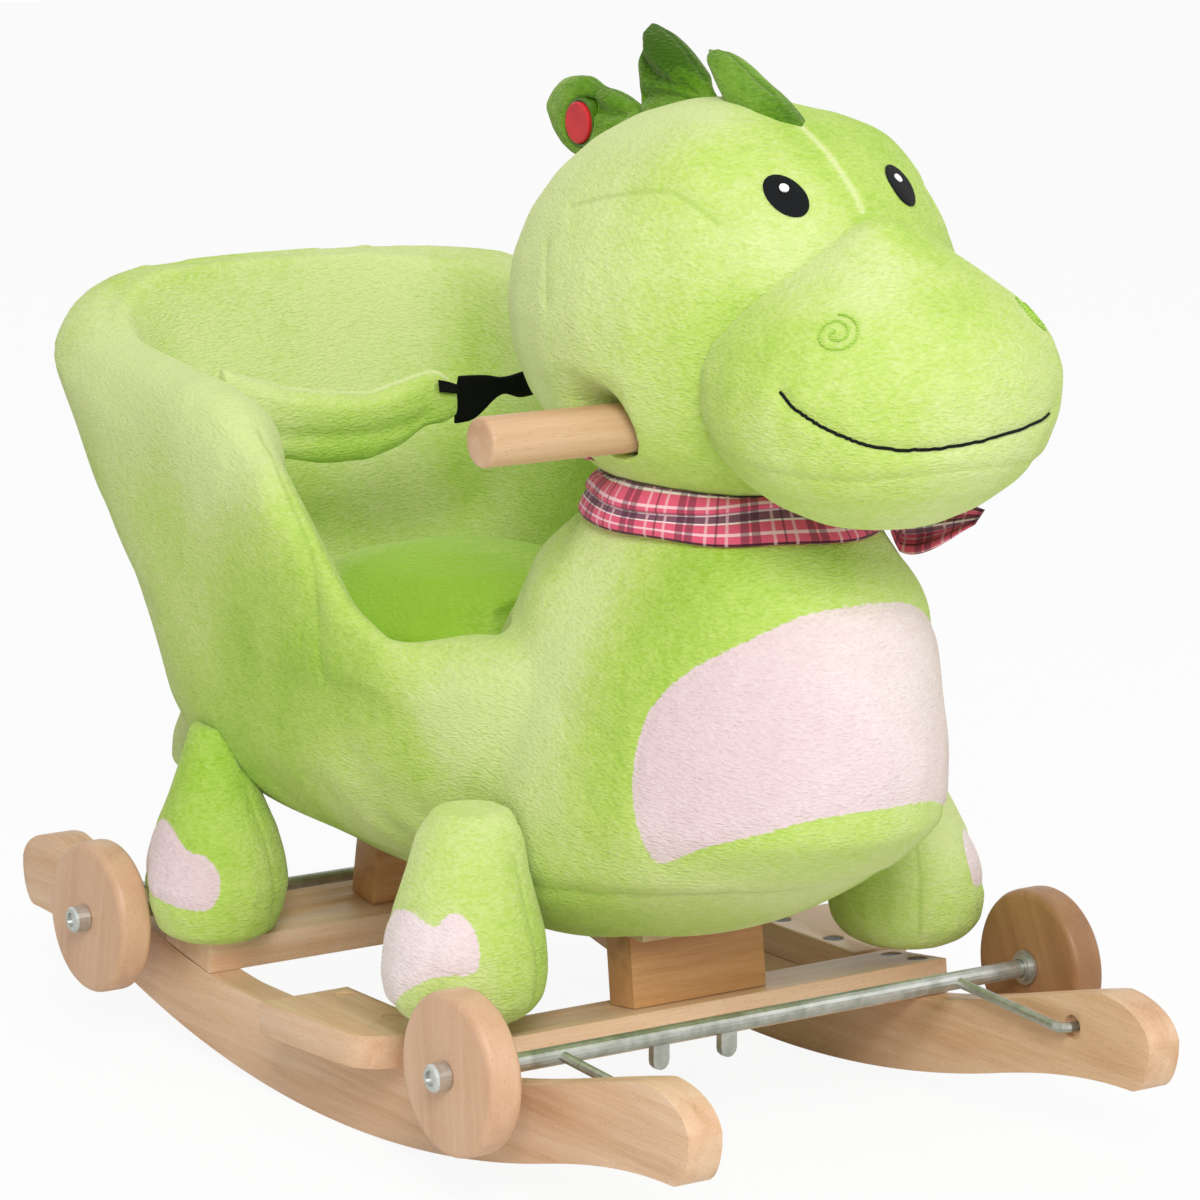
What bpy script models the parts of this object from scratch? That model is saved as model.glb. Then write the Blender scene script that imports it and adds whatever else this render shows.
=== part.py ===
"""A plush dinosaur ride-on that rocks on two wooden rockers or rolls on four wheels.

Metres, +Z up. X runs across the toy (its left is +X), it faces -Y, and the floor is Z = 0.
Sizes along Y are measured from the middle of the rockers. At the end everything stands on one empty,
which puts the origin on the floor under the middle of the whole toy, from snout to tail.
"""

import math

import bpy
from mathutils import Matrix, Vector

# Clearances
GAP = 0.0003
TURN_GAP = 0.0004
PIN_GAP = 0.0005

# Rockers
ROCKER_REACH = 0.301
ROCKER_OUTER_X = 0.139
ROCKER_THICK = 0.0182
ROCKER_SOLE_RADIUS = 0.715
ROCKER_SOLE_REACH = 0.190
ROCKER_WAIST = 0.0435
ROCKER_FLAT_REACH = 0.084
TIP_TOP_Z = 0.0828
TIP_FOOT_Z = 0.0415
TIP_NOSE_Z = 0.0635
TIP_SHOULDER = 0.035

# Cross planks, on the rockers' sloping tops
PLANK_THICK = 0.0168
PLANK_WIDE = 0.0440
FRONT_PLANK_Y = -0.1085
REAR_PLANK_Y = 0.1290

# Footrests, on the flat of the rockers
FOOTREST_THICK = 0.0160
FOOTREST_REAR_Y = 0.0070
FOOTREST_FRONT_Y = -0.0775
FOOTREST_OUTER_X = 0.1700
FOOTREST_TAPER = 0.0050
FOOTREST_CORNER = 0.0210

# Spacer blocks between the planks and the seat board
BLOCK_HALF_X = 0.0385
BLOCK_DEEP = 0.0200

# Plywood seat board under the plush
BOARD_UNDER_Z = 0.0990
BOARD_THICK = 0.0120
BOARD_HALF_X = 0.0395
BOARD_FRONT_Y = -0.1240
BOARD_REAR_Y = 0.1400

# Neck post and handle
POST_WIDE = 0.0440
POST_THICK = 0.0380
POST_FOOT_Y = -0.1130
POST_RISE = 0.0200
HANDLE_Y = -0.1530
HANDLE_Z = 0.3500
HANDLE_DIA = 0.0230
HANDLE_LENGTH = 0.3000
HANDLE_EDGE = 0.0015

# Swinging axle frames
PIVOT_Y = 0.2460
PIVOT_Z = 0.0620
AXLE_SWING = 0.0802
AXLE_Y = PIVOT_Y - AXLE_SWING
AXLE_Z = 0.0669
AXLE_DIA = 0.0088
AXLE_INTO_CAP = 0.0060
ARM_DIA = 0.0050
ARM_X = 0.1145
PIVOT_DEPTH = 0.0110
PIVOT_RECESS_DIA = 0.0115
PIVOT_RECESS = 0.0035
TAB_XS = (-0.0590, -0.0205)
TAB_WIDE = 0.0090
TAB_THICK = 0.0040
TAB_DROP = 0.0115

# Wheels, with an inner stepped washer and an outer hub cap on the axle
WHEEL_DIA = 0.0760
WHEEL_THICK = 0.0177
WHEEL_OUTER_X = 0.1763
WHEEL_EDGE = 0.0040
WASHER_DIA = 0.0170
WASHER_THICK = 0.0016
WASHER_STEP_DIA = 0.0125
WASHER_STEP = 0.0026
CAP_DIA = 0.0134
CAP_LENGTH = 0.0078
CAP_EDGE = 0.0012
CAP_DISH_DIA = 0.0075
CAP_DISH = 0.0012

# Countersunk screws
SCREW_DIA = 0.0050
SCREW_HEAD_DIA = 0.0100
SCREW_HEAD = 0.0030
SCREW_SUNK = 0.0006
SCREW_GRIP = 0.0220
PLANK_SCREW_APART = 0.0210
FOOTREST_SCREW_YS = (-0.0490, -0.0050)
BOLT_DIA = 0.0060
BOLT_HEAD_DIA = 0.0110
BOLT_HEAD = 0.0035
BOLT_X = 0.0200

# Plush body: the chest and the tub seat
CHEST_LEVELS = (
    # height, half width, middle Y, half length
    (0.0990, 0.056, -0.0820, 0.050),
    (0.1040, 0.072, -0.0850, 0.062),
    (0.1120, 0.085, -0.0880, 0.076),
    (0.1240, 0.094, -0.0920, 0.096),
    (0.1420, 0.101, -0.0990, 0.124),
    (0.1680, 0.101, -0.1080, 0.148),
    (0.2000, 0.096, -0.1180, 0.141),
    (0.2400, 0.088, -0.1290, 0.122),
    (0.2700, 0.074, -0.1340, 0.108),
    (0.2900, 0.066, -0.1360, 0.084),
    (0.3050, 0.062, -0.1370, 0.068),
)
NECK_TOP_Z = 0.3360
TUB_LEVELS = (
    # height, half width, front Y, rear Y
    (0.0990, 0.0450, -0.1120, 0.1520),
    (0.1045, 0.0530, -0.1200, 0.1600),
    (0.1120, 0.0650, -0.1260, 0.1690),
    (0.1280, 0.0960, -0.1320, 0.1860),
    (0.1480, 0.1175, -0.1380, 0.2180),
    (0.1750, 0.1235, -0.1460, 0.2350),
    (0.2070, 0.1285, -0.1560, 0.2455),
    (0.2700, 0.1390, -0.1680, 0.2790),
    (0.3300, 0.1480, -0.1720, 0.3060),
    (0.3600, 0.1500, -0.1740, 0.3160),
)
TUB_REAR_REACH = 0.1260
TUB_REAR_ROUNDNESS = 3.4
TUB_FRONT_ROUNDNESS = 2.7
TUB_WALL = 0.0420
TUB_FLOOR_Z = 0.2000
TUB_RIM = (
    # Y, height
    (-0.0600, 0.2380),
    (-0.0270, 0.2420),
    (-0.0020, 0.2550),
    (0.0160, 0.2730),
    (0.0300, 0.2930),
    (0.0490, 0.3140),
    (0.0780, 0.3340),
    (0.1200, 0.3440),
    (0.1800, 0.3500),
    (0.2350, 0.3550),
    (0.2650, 0.3650),
    (0.2900, 0.3790),
)

# Head and snout
HEAD_Y = -0.1370
HEAD_Z = 0.3985
HEAD_HALF_X = 0.0990
HEAD_HALF_Y = 0.1160
HEAD_HALF_Z = 0.0955
DIMPLE_X = 0.0680
DIMPLE_DIA = 0.0520
SNOUT_Y = -0.2470
SNOUT_TOP_Z = 0.4515
SNOUT_CHIN_Z = 0.3110
SNOUT_HALF_X = 0.0840
SNOUT_HALF_Y = 0.0780
SNOUT_SHARES = (
    # share of the height, share of the half width
    (0.03, 0.34),
    (0.09, 0.57),
    (0.17, 0.76),
    (0.27, 0.91),
    (0.39, 0.985),
    (0.51, 1.0),
    (0.62, 0.93),
    (0.73, 0.76),
    (0.83, 0.52),
    (0.91, 0.31),
    (0.97, 0.15),
)

# Legs: where the foot stands, where the top is sewn on, and the full radius
FRONT_LEG_FOOT = (0.1288, -0.1085)
FRONT_LEG_TOP = (0.1165, -0.0965)
FRONT_LEG_LOW = 0.0725
FRONT_LEG_HIGH = 0.1690
FRONT_LEG_RADIUS = 0.0395
FRONT_LEG_LEAN = 3.0
REAR_LEG_FOOT = (0.1300, 0.1155)
REAR_LEG_TOP = (0.1180, 0.1360)
REAR_LEG_LOW = 0.0620
REAR_LEG_HIGH = 0.1650
REAR_LEG_RADIUS = 0.0368
REAR_LEG_LEAN = 1.3
WHEEL_ROOM = 0.0015
AXLE_ROOM = 0.0012

# Tail, arching over the rear axle's path: middle line (Y, height) and radius
TAIL_TIP_Y = 0.3750
TAIL_TIP_Z = 0.0790
TAIL_LINE = (
    (0.2160, 0.1900, 0.0300),
    (0.2400, 0.1830, 0.0295),
    (0.2750, 0.1710, 0.0260),
    (0.3080, 0.1510, 0.0220),
    (0.3350, 0.1235, 0.0183),
    (0.3540, 0.1000, 0.0165),
)

# Seat cushion
CUSHION_Y = 0.0880
CUSHION_HALF_X = 0.0840
CUSHION_HALF_Y = 0.1000
CUSHION_THICK = 0.0280
CUSHION_CROWN = 0.0220

# Safety belt
BELT_Y = 0.1320
BELT_Z = 0.3140
PAD_FROM_X = -0.1180
PAD_TO_X = 0.0160
PAD_HIGH = 0.0520
PAD_THICK = 0.0220
STRAP_TO_X = 0.1180
STRAP_HIGH = 0.0300
STRAP_THICK = 0.0024

# Scarf
SCARF_FRONT_Z = 0.3120
SCARF_REAR_Z = 0.3180
SCARF_HIGH = 0.0290
SCARF_THICK = 0.0060
KNOT_TURN = 45.0
KNOT_REACH = 0.0460
KNOT_ROWS = (
    # share of the reach, half width, half height, drop
    (0.00, 0.0060, 0.0080, 0.0010),
    (0.10, 0.0080, 0.0100, 0.0030),
    (0.24, 0.0070, 0.0090, 0.0060),
    (0.36, 0.0040, 0.0080, 0.0090),
    (0.55, 0.0030, 0.0110, 0.0110),
    (0.80, 0.0024, 0.0130, 0.0120),
    (1.00, 0.0016, 0.0120, 0.0110),
)

# Spikes along the head: the foot's Y and height, the tip's, half its breadth, and its fullest part
SPIKE_THICK = 0.0220
SPIKES = (
    ("spike_rear", (-0.0620, 0.4640), (0.0140, 0.4790), 0.0175, 0.75, 0.60),
    ("spike_middle", (-0.0930, 0.4720), (-0.0640, 0.5225), 0.0270, 1.00, 0.02),
    ("spike_front", (-0.1980, 0.4800), (-0.1160, 0.5070), 0.0120, 0.30, 0.50),
)

# Sound button in the rear spike's right side
BUTTON_Y = -0.0250
BUTTON_Z = 0.4730
BUTTON_DIA = 0.0200
BUTTON_TRAVEL = 0.0015
BUTTON_PROUD = 0.0018
MODULE_DEEP = 0.0100
MODULE_WALL = 0.0014
MODULE_FACE_X = 0.0100

SIDES = (("left", 1.0), ("right", -1.0))
MIDDLE_Y = (TAIL_TIP_Y + SNOUT_Y - SNOUT_HALF_Y) / 2


# Materials


def colour(text):
    """An sRGB hex colour as linear RGBA."""
    values = [int(text[i : i + 2], 16) / 255 for i in (0, 2, 4)]
    linear = [v / 12.92 if v <= 0.04045 else ((v + 0.055) / 1.055) ** 2.4 for v in values]
    return (*linear, 1.0)


def material(name, text, roughness, metallic=0.0):
    found = bpy.data.materials.new(name)
    found.use_nodes = True
    shader = found.node_tree.nodes["Principled BSDF"]
    shader.inputs["Base Color"].default_value = colour(text)
    shader.inputs["Roughness"].default_value = roughness
    shader.inputs["Metallic"].default_value = metallic
    found.diffuse_color = colour(text)
    return found


# Mesh helpers


def clear_scene():
    for obj in list(bpy.data.objects):
        bpy.data.objects.remove(obj, do_unlink=True)
    toy = bpy.data.objects.new("toy", None)
    toy.location = (0.0, -MIDDLE_Y, 0.0)
    bpy.context.scene.collection.objects.link(toy)


def make_object(name, points, faces, look, origin=(0.0, 0.0, 0.0), smooth=True):
    """A mesh object whose points are given in the toy's frame and whose origin is moved to origin."""
    origin = Vector(origin)
    mesh = bpy.data.meshes.new(name)
    mesh.from_pydata([Vector(p) - origin for p in points], [], faces)
    mesh.validate()
    mesh.update()
    obj = bpy.data.objects.new(name, mesh)
    obj.location = origin
    obj.parent = bpy.data.objects["toy"]
    bpy.context.scene.collection.objects.link(obj)
    if look is not None:
        mesh.materials.append(look)
    if smooth:
        mesh.shade_smooth()
        mesh.set_sharp_from_angle(angle=math.radians(35))
    return obj


def skin(rings):
    """Points and faces of a closed solid through rings; a ring of one point is a pole."""
    points = []
    starts = []
    for ring in rings:
        starts.append(len(points))
        points.extend(ring)
    faces = []
    for k in range(len(rings) - 1):
        near, far = rings[k], rings[k + 1]
        a, b = starts[k], starts[k + 1]
        count = max(len(near), len(far))
        for i in range(count):
            j = (i + 1) % count
            if len(near) == 1:
                faces.append((a, b + i, b + j))
            elif len(far) == 1:
                faces.append((a + i, b, a + j))
            else:
                faces.append((a + i, b + i, b + j, a + j))
    return points, faces


def facing_out(points, faces):
    """The same faces, turned round if they face in."""
    volume = 0.0
    for face in faces:
        first = Vector(points[face[0]])
        for i in range(1, len(face) - 1):
            volume += first.dot(Vector(points[face[i]]).cross(Vector(points[face[i + 1]])))
    return faces if volume > 0 else [tuple(reversed(face)) for face in faces]


def solid(name, rings, look, origin=(0.0, 0.0, 0.0), smooth=True):
    points, faces = skin(rings)
    return make_object(name, points, facing_out(points, faces), look, origin, smooth)


def prism(outline, place, depth_from, depth_to):
    """Rings of an outline (list of pairs) swept from one depth to the other, both ends flat.

    place turns (u, v, depth) into a point.
    """
    return [place(u, v, depth_from) for u, v in outline], [place(u, v, depth_to) for u, v in outline]


def prism_solid(name, outline, place, depth_from, depth_to, look, origin=(0.0, 0.0, 0.0), smooth=False):
    near, far = prism(outline, place, depth_from, depth_to)
    count = len(outline)
    faces = [tuple(range(count))[::-1], tuple(range(count, 2 * count))]
    for i in range(count):
        j = (i + 1) % count
        faces.append((i, j, count + j, count + i))
    points = near + far
    return make_object(name, points, facing_out(points, faces), look, origin, smooth)


def across_x(u, v, depth):
    return (depth, u, v)


def lathe_rings(profile, place, segments):
    """Rings of a profile of (radius, along) pairs turned round an axis; place(x, y, along) sets them."""
    rings = []
    for radius, along in profile:
        if radius < 1e-7:
            rings.append([place(0.0, 0.0, along)])
            continue
        ring = []
        for i in range(segments):
            turn = 2 * math.pi * i / segments
            ring.append(place(radius * math.cos(turn), radius * math.sin(turn), along))
        rings.append(ring)
    return rings


def about_x(y0, z0, sign=1.0):
    """Places turned points round the line through (y0, z0) along X; along is |X| on that side."""
    return lambda a, b, along: (sign * along, y0 + a, z0 + b)


def in_frame(matrix):
    """Places turned points in a frame whose Z is the turning axis."""
    return lambda a, b, along: tuple(matrix @ Vector((a, b, along)))


def closed_ring_solid(name, profile, place, segments, look, origin=(0.0, 0.0, 0.0)):
    """A closed profile that never meets its axis, turned all the way round."""
    points = []
    count = len(profile)
    for i in range(segments):
        turn = 2 * math.pi * i / segments
        for radius, along in profile:
            points.append(place(radius * math.cos(turn), radius * math.sin(turn), along))
    faces = []
    for i in range(segments):
        j = (i + 1) % segments
        for k in range(count):
            m = (k + 1) % count
            faces.append((i * count + k, i * count + m, j * count + m, j * count + k))
    return make_object(name, points, facing_out(points, faces), look, origin)


def tube_rings(path, radius, sides):
    """Rings round a path of points, each ring square to the path there, with flat ends."""
    path = [Vector(p) for p in path]
    rings = []
    up = Vector((0.0, 0.0, 1.0))
    for i, point in enumerate(path):
        before = path[max(i - 1, 0)]
        after = path[min(i + 1, len(path) - 1)]
        along = (after - before).normalized()
        side = along.cross(up)
        if side.length < 1e-4:
            side = Vector((0.0, 1.0, 0.0))
        side.normalize()
        rise = side.cross(along).normalized()
        ring = []
        for k in range(sides):
            turn = 2 * math.pi * k / sides
            ring.append(tuple(point + radius * (math.cos(turn) * side + math.sin(turn) * rise)))
        rings.append(ring)
    return [[tuple(path[0])]] + rings + [[tuple(path[-1])]]


def helper(obj):
    """Marks an object as a cutter or a joined shape that isn't part of the toy."""
    obj.hide_render = True
    obj.display_type = "WIRE"
    return obj


def combine(target, other, operation):
    step = target.modifiers.new(operation.title(), "BOOLEAN")
    step.operation = operation
    step.solver = "EXACT"
    step.object = helper(other)
    return target


def cut(target, other):
    return combine(target, other, "DIFFERENCE")


def join(target, other):
    return combine(target, other, "UNION")


def box_solid(name, matrix, low, high, look=None):
    """A box between two corners in a frame."""
    corners = []
    for z in (low[2], high[2]):
        for x, y in ((low[0], low[1]), (high[0], low[1]), (high[0], high[1]), (low[0], high[1])):
            corners.append(tuple(matrix @ Vector((x, y, z))))
    faces = [(3, 2, 1, 0), (4, 5, 6, 7)]
    for i in range(4):
        j = (i + 1) % 4
        faces.append((i, j, 4 + j, 4 + i))
    return make_object(name, corners, facing_out(corners, faces), look, smooth=False)


def smooth_between(points, value):
    """A smooth curve through (x, y) pairs, held flat beyond their ends."""
    if value <= points[0][0]:
        return points[0][1]
    if value >= points[-1][0]:
        return points[-1][1]
    k = 0
    while points[k + 1][0] < value:
        k += 1
    x0, y0 = points[k]
    x1, y1 = points[k + 1]
    slope = (y1 - y0) / (x1 - x0)
    before = (y0 - points[k - 1][1]) / (x0 - points[k - 1][0]) if k > 0 else slope
    after = (points[k + 2][1] - y1) / (points[k + 2][0] - x1) if k + 2 < len(points) else slope
    m0 = (before + slope) / 2
    m1 = (slope + after) / 2
    span = x1 - x0
    t = (value - x0) / span
    return (
        (2 * t**3 - 3 * t**2 + 1) * y0
        + (t**3 - 2 * t**2 + t) * span * m0
        + (-2 * t**3 + 3 * t**2) * y1
        + (t**3 - t**2) * span * m1
    )


# Rocker profile


def sole_z(reach):
    """Height of the rocker's underside at a distance from its middle."""
    if reach <= ROCKER_SOLE_REACH:
        return ROCKER_SOLE_RADIUS - math.sqrt(ROCKER_SOLE_RADIUS**2 - reach**2)
    start = ROCKER_SOLE_RADIUS - math.sqrt(ROCKER_SOLE_RADIUS**2 - ROCKER_SOLE_REACH**2)
    slope = ROCKER_SOLE_REACH / math.sqrt(ROCKER_SOLE_RADIUS**2 - ROCKER_SOLE_REACH**2)
    end = ROCKER_REACH - 0.012
    t = (reach - ROCKER_SOLE_REACH) / (end - ROCKER_SOLE_REACH)
    run = slope * (end - ROCKER_SOLE_REACH)
    return start + (TIP_FOOT_Z - start) * (3 * t**2 - 2 * t**3) + run * (t**3 - 2 * t**2 + t)


def top_z(reach):
    """Height of the rocker's top at a distance from its middle."""
    end = ROCKER_REACH - TIP_SHOULDER
    if reach <= ROCKER_FLAT_REACH:
        return ROCKER_WAIST
    t = (reach - ROCKER_FLAT_REACH) / (end - ROCKER_FLAT_REACH)
    return ROCKER_WAIST + (TIP_TOP_Z - ROCKER_WAIST) * (0.22 * t + 1.46 * t**2 - 0.68 * t**3)


def rocker_half():
    """Half of the rocker's outline, from the middle of the sole round the tip to the middle of the top."""
    half = []
    for i in range(8):
        reach = ROCKER_SOLE_REACH * i / 8
        half.append((reach, sole_z(reach)))
    last = ROCKER_REACH - 0.012
    for i in range(7):
        reach = ROCKER_SOLE_REACH + (last - ROCKER_SOLE_REACH) * i / 6
        half.append((reach, sole_z(reach)))
    # The lower corner, the nose and the shoulder, each a quarter of an ellipse.
    for i in range(1, 6):
        turn = math.pi / 2 * i / 5
        z = TIP_NOSE_Z - (TIP_NOSE_Z - TIP_FOOT_Z) * math.cos(turn)
        half.append((last + 0.012 * math.sin(turn), z))
    shoulder = ROCKER_REACH - TIP_SHOULDER
    for i in range(1, 7):
        turn = math.pi / 2 * i / 6
        z = TIP_NOSE_Z + (TIP_TOP_Z - TIP_NOSE_Z) * math.sin(turn)
        half.append((shoulder + TIP_SHOULDER * math.cos(turn), z))
    for i in range(1, 10):
        reach = shoulder + (ROCKER_FLAT_REACH - shoulder) * i / 9
        half.append((reach, top_z(reach)))
    return half


def rocker_outline():
    half = rocker_half()
    front = [(-reach, z) for reach, z in half]
    rear = [(reach, z) for reach, z in half[1:]]
    return front + rear[::-1]


def rocker_room(side, sign):
    """The room that a rocker and the toy's floor take, grown by the gap."""
    shoulder = ROCKER_REACH - TIP_SHOULDER
    outline = [(y, z + GAP) for y, z in rocker_outline() if z > TIP_NOSE_Z or abs(y) <= shoulder]
    top = [(y, z) for y, z in outline if z > sole_z(min(abs(y), ROCKER_REACH - 0.012)) + 0.01]
    top.sort()
    room = [(top[0][0], 0.0)] + top + [(top[-1][0], 0.0)]
    inner = ROCKER_OUTER_X - ROCKER_THICK - GAP
    return prism_solid("rocker_room_" + side, room, across_x, sign * inner, sign * (ROCKER_OUTER_X + GAP), None)


def plank_frame(middle_y):
    """The frame of a plank: its underside rests on the rockers at both of its edges, Z is square to it."""
    low = abs(middle_y) - PLANK_WIDE / 2
    high = abs(middle_y) + PLANK_WIDE / 2
    rise = math.atan2(top_z(high) - top_z(low), PLANK_WIDE)
    z = (top_z(high) + top_z(low)) / 2 + GAP
    tilt = rise if middle_y > 0 else -rise
    return Matrix.Translation((0.0, middle_y, z)) @ Matrix.Rotation(tilt, 4, "X")


def post_outline(grow, drop):
    """The neck post in the YZ plane, leaning from the seat board to the handle, its foot dropped by drop."""
    foot = Vector((POST_FOOT_Y, BOARD_UNDER_Z + BOARD_THICK + GAP))
    handle = Vector((HANDLE_Y, HANDLE_Z))
    along = (handle - foot).normalized()
    across = Vector((along.y, -along.x)) * (POST_THICK / 2 + grow)
    top = handle + along * (HANDLE_DIA / 2 + POST_RISE + grow)
    outline = []
    for spot in (foot + across, foot - across):
        reach = (foot.y - drop - spot.y) / along.y
        outline.append(tuple(spot + along * reach))
    return outline + [tuple(top - across), tuple(top + across)]


def chest_ring(z, grow=0.0, segments=24):
    rows = CHEST_LEVELS
    half_x = smooth_between([(r[0], r[1]) for r in rows], z) + grow
    middle = smooth_between([(r[0], r[2]) for r in rows], z)
    half_y = smooth_between([(r[0], r[3]) for r in rows], z) + grow
    ring = []
    for i in range(segments):
        turn = 2 * math.pi * i / segments
        ring.append((half_x * math.cos(turn), middle + half_y * math.sin(turn), z))
    return ring


def chest_rings(grow=0.0):
    rows = CHEST_LEVELS
    rings = [[(0.0, rows[0][2], rows[0][0] - grow)]]
    for k, row in enumerate(rows):
        low = grow if k == 0 else 0.0
        ring = chest_ring(row[0], grow)
        rings.append([(x, y, z - low) for x, y, z in ring])
    top = rows[-1]
    neck = chest_ring(top[0], grow)
    rings.append([(x * 0.72, top[2] + (y - top[2]) * 0.72, NECK_TOP_Z + grow) for x, y, z in neck])
    rings.append([(0.0, top[2], NECK_TOP_Z + grow)])
    return rings


def tub_point(turn, z, inset):
    """A point of the tub's outside at a height and turn, or inset towards its middle."""
    half_x = smooth_between([(r[0], r[1]) for r in TUB_LEVELS], z) - inset
    front = smooth_between([(r[0], r[2]) for r in TUB_LEVELS], z) + inset
    rear = smooth_between([(r[0], r[3]) for r in TUB_LEVELS], z) - inset
    middle = rear + inset - TUB_REAR_REACH
    c, s = math.cos(turn), math.sin(turn)
    reach = rear - middle if s > 0 else middle - front
    power = 2 / (TUB_REAR_ROUNDNESS if s > 0 else TUB_FRONT_ROUNDNESS)
    x = half_x * math.copysign(abs(c) ** power, c)
    y = middle + reach * math.copysign(abs(s) ** power, s)
    return x, y


def rim_z(y):
    """Height of the tub's rim: high behind the child, low beside the legs."""
    return smooth_between(TUB_RIM, y)


def tub_rings(grow=0.0, segments=40):
    """Rings from the middle of the underside, up the outside, over the rim and down to the seat's floor."""
    radius = TUB_WALL / 2
    under = TUB_LEVELS[0][0]
    turns = [2 * math.pi * (i + 0.5) / segments for i in range(segments)]
    crests = []
    for turn in turns:
        crest = TUB_RIM[-1][1]
        for _ in range(6):
            crest = 0.5 * crest + 0.5 * rim_z(tub_point(turn, crest - radius, radius)[1])
        crests.append(crest)
    outside = (0.0, 0.035, 0.075, 0.12, 0.19, 0.30, 0.52, 0.76, 1.0)
    inside = (1.0, 0.66, 0.33, 0.08)
    rings = [[(0.0, (TUB_LEVELS[0][2] + TUB_LEVELS[0][3]) / 2, under - grow)]]
    for k, part in enumerate(outside):
        ring = []
        for turn, crest in zip(turns, crests):
            z = under + (crest - radius - under) * part
            x, y = tub_point(turn, z, -grow)
            ring.append((x, y, z - (grow if k == 0 else 0.0)))
        rings.append(ring)
    for angle in (45, 90, 135):
        ring = []
        for turn, crest in zip(turns, crests):
            bend = math.radians(angle)
            level = crest - radius
            x, y = tub_point(turn, level, radius - (radius + grow) * math.cos(bend))
            ring.append((x, y, level + (radius + grow) * math.sin(bend)))
        rings.append(ring)
    for part in inside:
        ring = []
        for turn, crest in zip(turns, crests):
            z = TUB_FLOOR_Z + (crest - radius - TUB_FLOOR_Z) * part
            x, y = tub_point(turn, z, TUB_WALL + grow)
            ring.append((x, y, z + grow))
        rings.append(ring)
    ring = []
    for turn in turns:
        x, y = tub_point(turn, TUB_FLOOR_Z, TUB_WALL * 1.3 + grow)
        ring.append((x, y, TUB_FLOOR_Z + grow))
    rings.append(ring)
    rings.append([(0.0, CUSHION_Y, TUB_FLOOR_Z + grow)])
    return rings


def ball_rings(middle, halves, grow=0.0, segments=20, levels=10):
    """An ellipsoid as rings from its lowest to its highest point."""
    x0, y0, z0 = middle
    a, b, c = (half + grow for half in halves)
    rings = [[(x0, y0, z0 - c)]]
    for k in range(1, levels):
        tilt = -math.pi / 2 + math.pi * k / levels
        ring = []
        for i in range(segments):
            turn = 2 * math.pi * (i + 0.5) / segments
            out = math.cos(tilt)
            ring.append((x0 + a * out * math.cos(turn), y0 + b * out * math.sin(turn), z0 + c * math.sin(tilt)))
        rings.append(ring)
    rings.append([(x0, y0, z0 + c)])
    return rings


def head_rings(grow=0.0):
    return ball_rings((0.0, HEAD_Y, HEAD_Z), (HEAD_HALF_X, HEAD_HALF_Y, HEAD_HALF_Z), grow, 24, 14)


def snout_rings(grow=0.0, segments=24):
    """The muzzle: full and round below, narrowing to the brow above."""
    high = SNOUT_TOP_Z - SNOUT_CHIN_Z
    rings = [[(0.0, SNOUT_Y, SNOUT_CHIN_Z - grow)]]
    for part, share in SNOUT_SHARES:
        ring = []
        for i in range(segments):
            turn = 2 * math.pi * i / segments
            x = (SNOUT_HALF_X * share + grow) * math.cos(turn)
            y = SNOUT_Y + (SNOUT_HALF_Y * share + grow) * math.sin(turn)
            ring.append((x, y, SNOUT_CHIN_Z + high * part + grow * (2 * part - 1)))
        rings.append(ring)
    rings.append([(0.0, SNOUT_Y, SNOUT_TOP_Z + grow)])
    return rings


def leg_rings(side, foot, top, heights, radius, lean, rows):
    """A stuffed leg from its foot up to where it is sewn to the body, leaning in towards its top."""
    rings = []
    low, high = heights
    for part, share in rows:
        z = low + (high - low) * part
        x = side * (foot[0] + (top[0] - foot[0]) * part**lean)
        y = foot[1] + (top[1] - foot[1]) * part**lean
        ring = []
        for i in range(16):
            turn = 2 * math.pi * i / 16
            ring.append((x + radius * share * math.cos(turn), y + radius * share * math.sin(turn), z))
        rings.append(ring)
    caps = []
    for ring in (rings[0], rings[-1]):
        caps.append([(sum(p[0] for p in ring) / 16, sum(p[1] for p in ring) / 16, ring[0][2])])
    return [caps[0]] + rings + [caps[1]]


def leaf_outline(foot, tip, half, foot_share, fullest, grow=0.0):
    """A rounded leaf in the YZ plane from its foot to its tip."""
    along = Vector((tip[0] - foot[0], tip[1] - foot[1]))
    foot = Vector(foot) - along.normalized() * grow
    along += along.normalized() * 2 * grow
    across = Vector((-along.y, along.x)).normalized() * (half + grow)
    steps = 8
    one = []
    other = []
    for k in range(steps + 1):
        t = k / steps
        if t < fullest:
            wide = foot_share + (1 - foot_share) * math.sin(math.pi / 2 * t / fullest)
        else:
            wide = max(math.cos(math.pi / 2 * (t - fullest) / (1 - fullest)), 0.0) ** 0.75
        spot = foot + along * t
        one.append(tuple(spot + across * wide))
        other.append(tuple(spot - across * wide))
    return one + other[-2::-1]


def fin_rings(outline, thick):
    """A stuffed fin on the toy's middle: an outline that swells to half its thickness each way."""
    count = len(outline)
    mid_y = sum(p[0] for p in outline) / count
    mid_z = sum(p[1] for p in outline) / count
    rings = []
    swells = ((0.0, -0.5), (0.52, -0.46), (0.84, -0.30), (1.0, 0.0), (0.84, 0.30), (0.52, 0.46), (0.0, 0.5))
    for share, depth in swells:
        x = depth * thick
        if share == 0.0:
            rings.append([(x, mid_y, mid_z)])
            continue
        rings.append([(x, mid_y + (y - mid_y) * share, mid_z + (z - mid_z) * share) for y, z in outline])
    return rings


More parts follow.
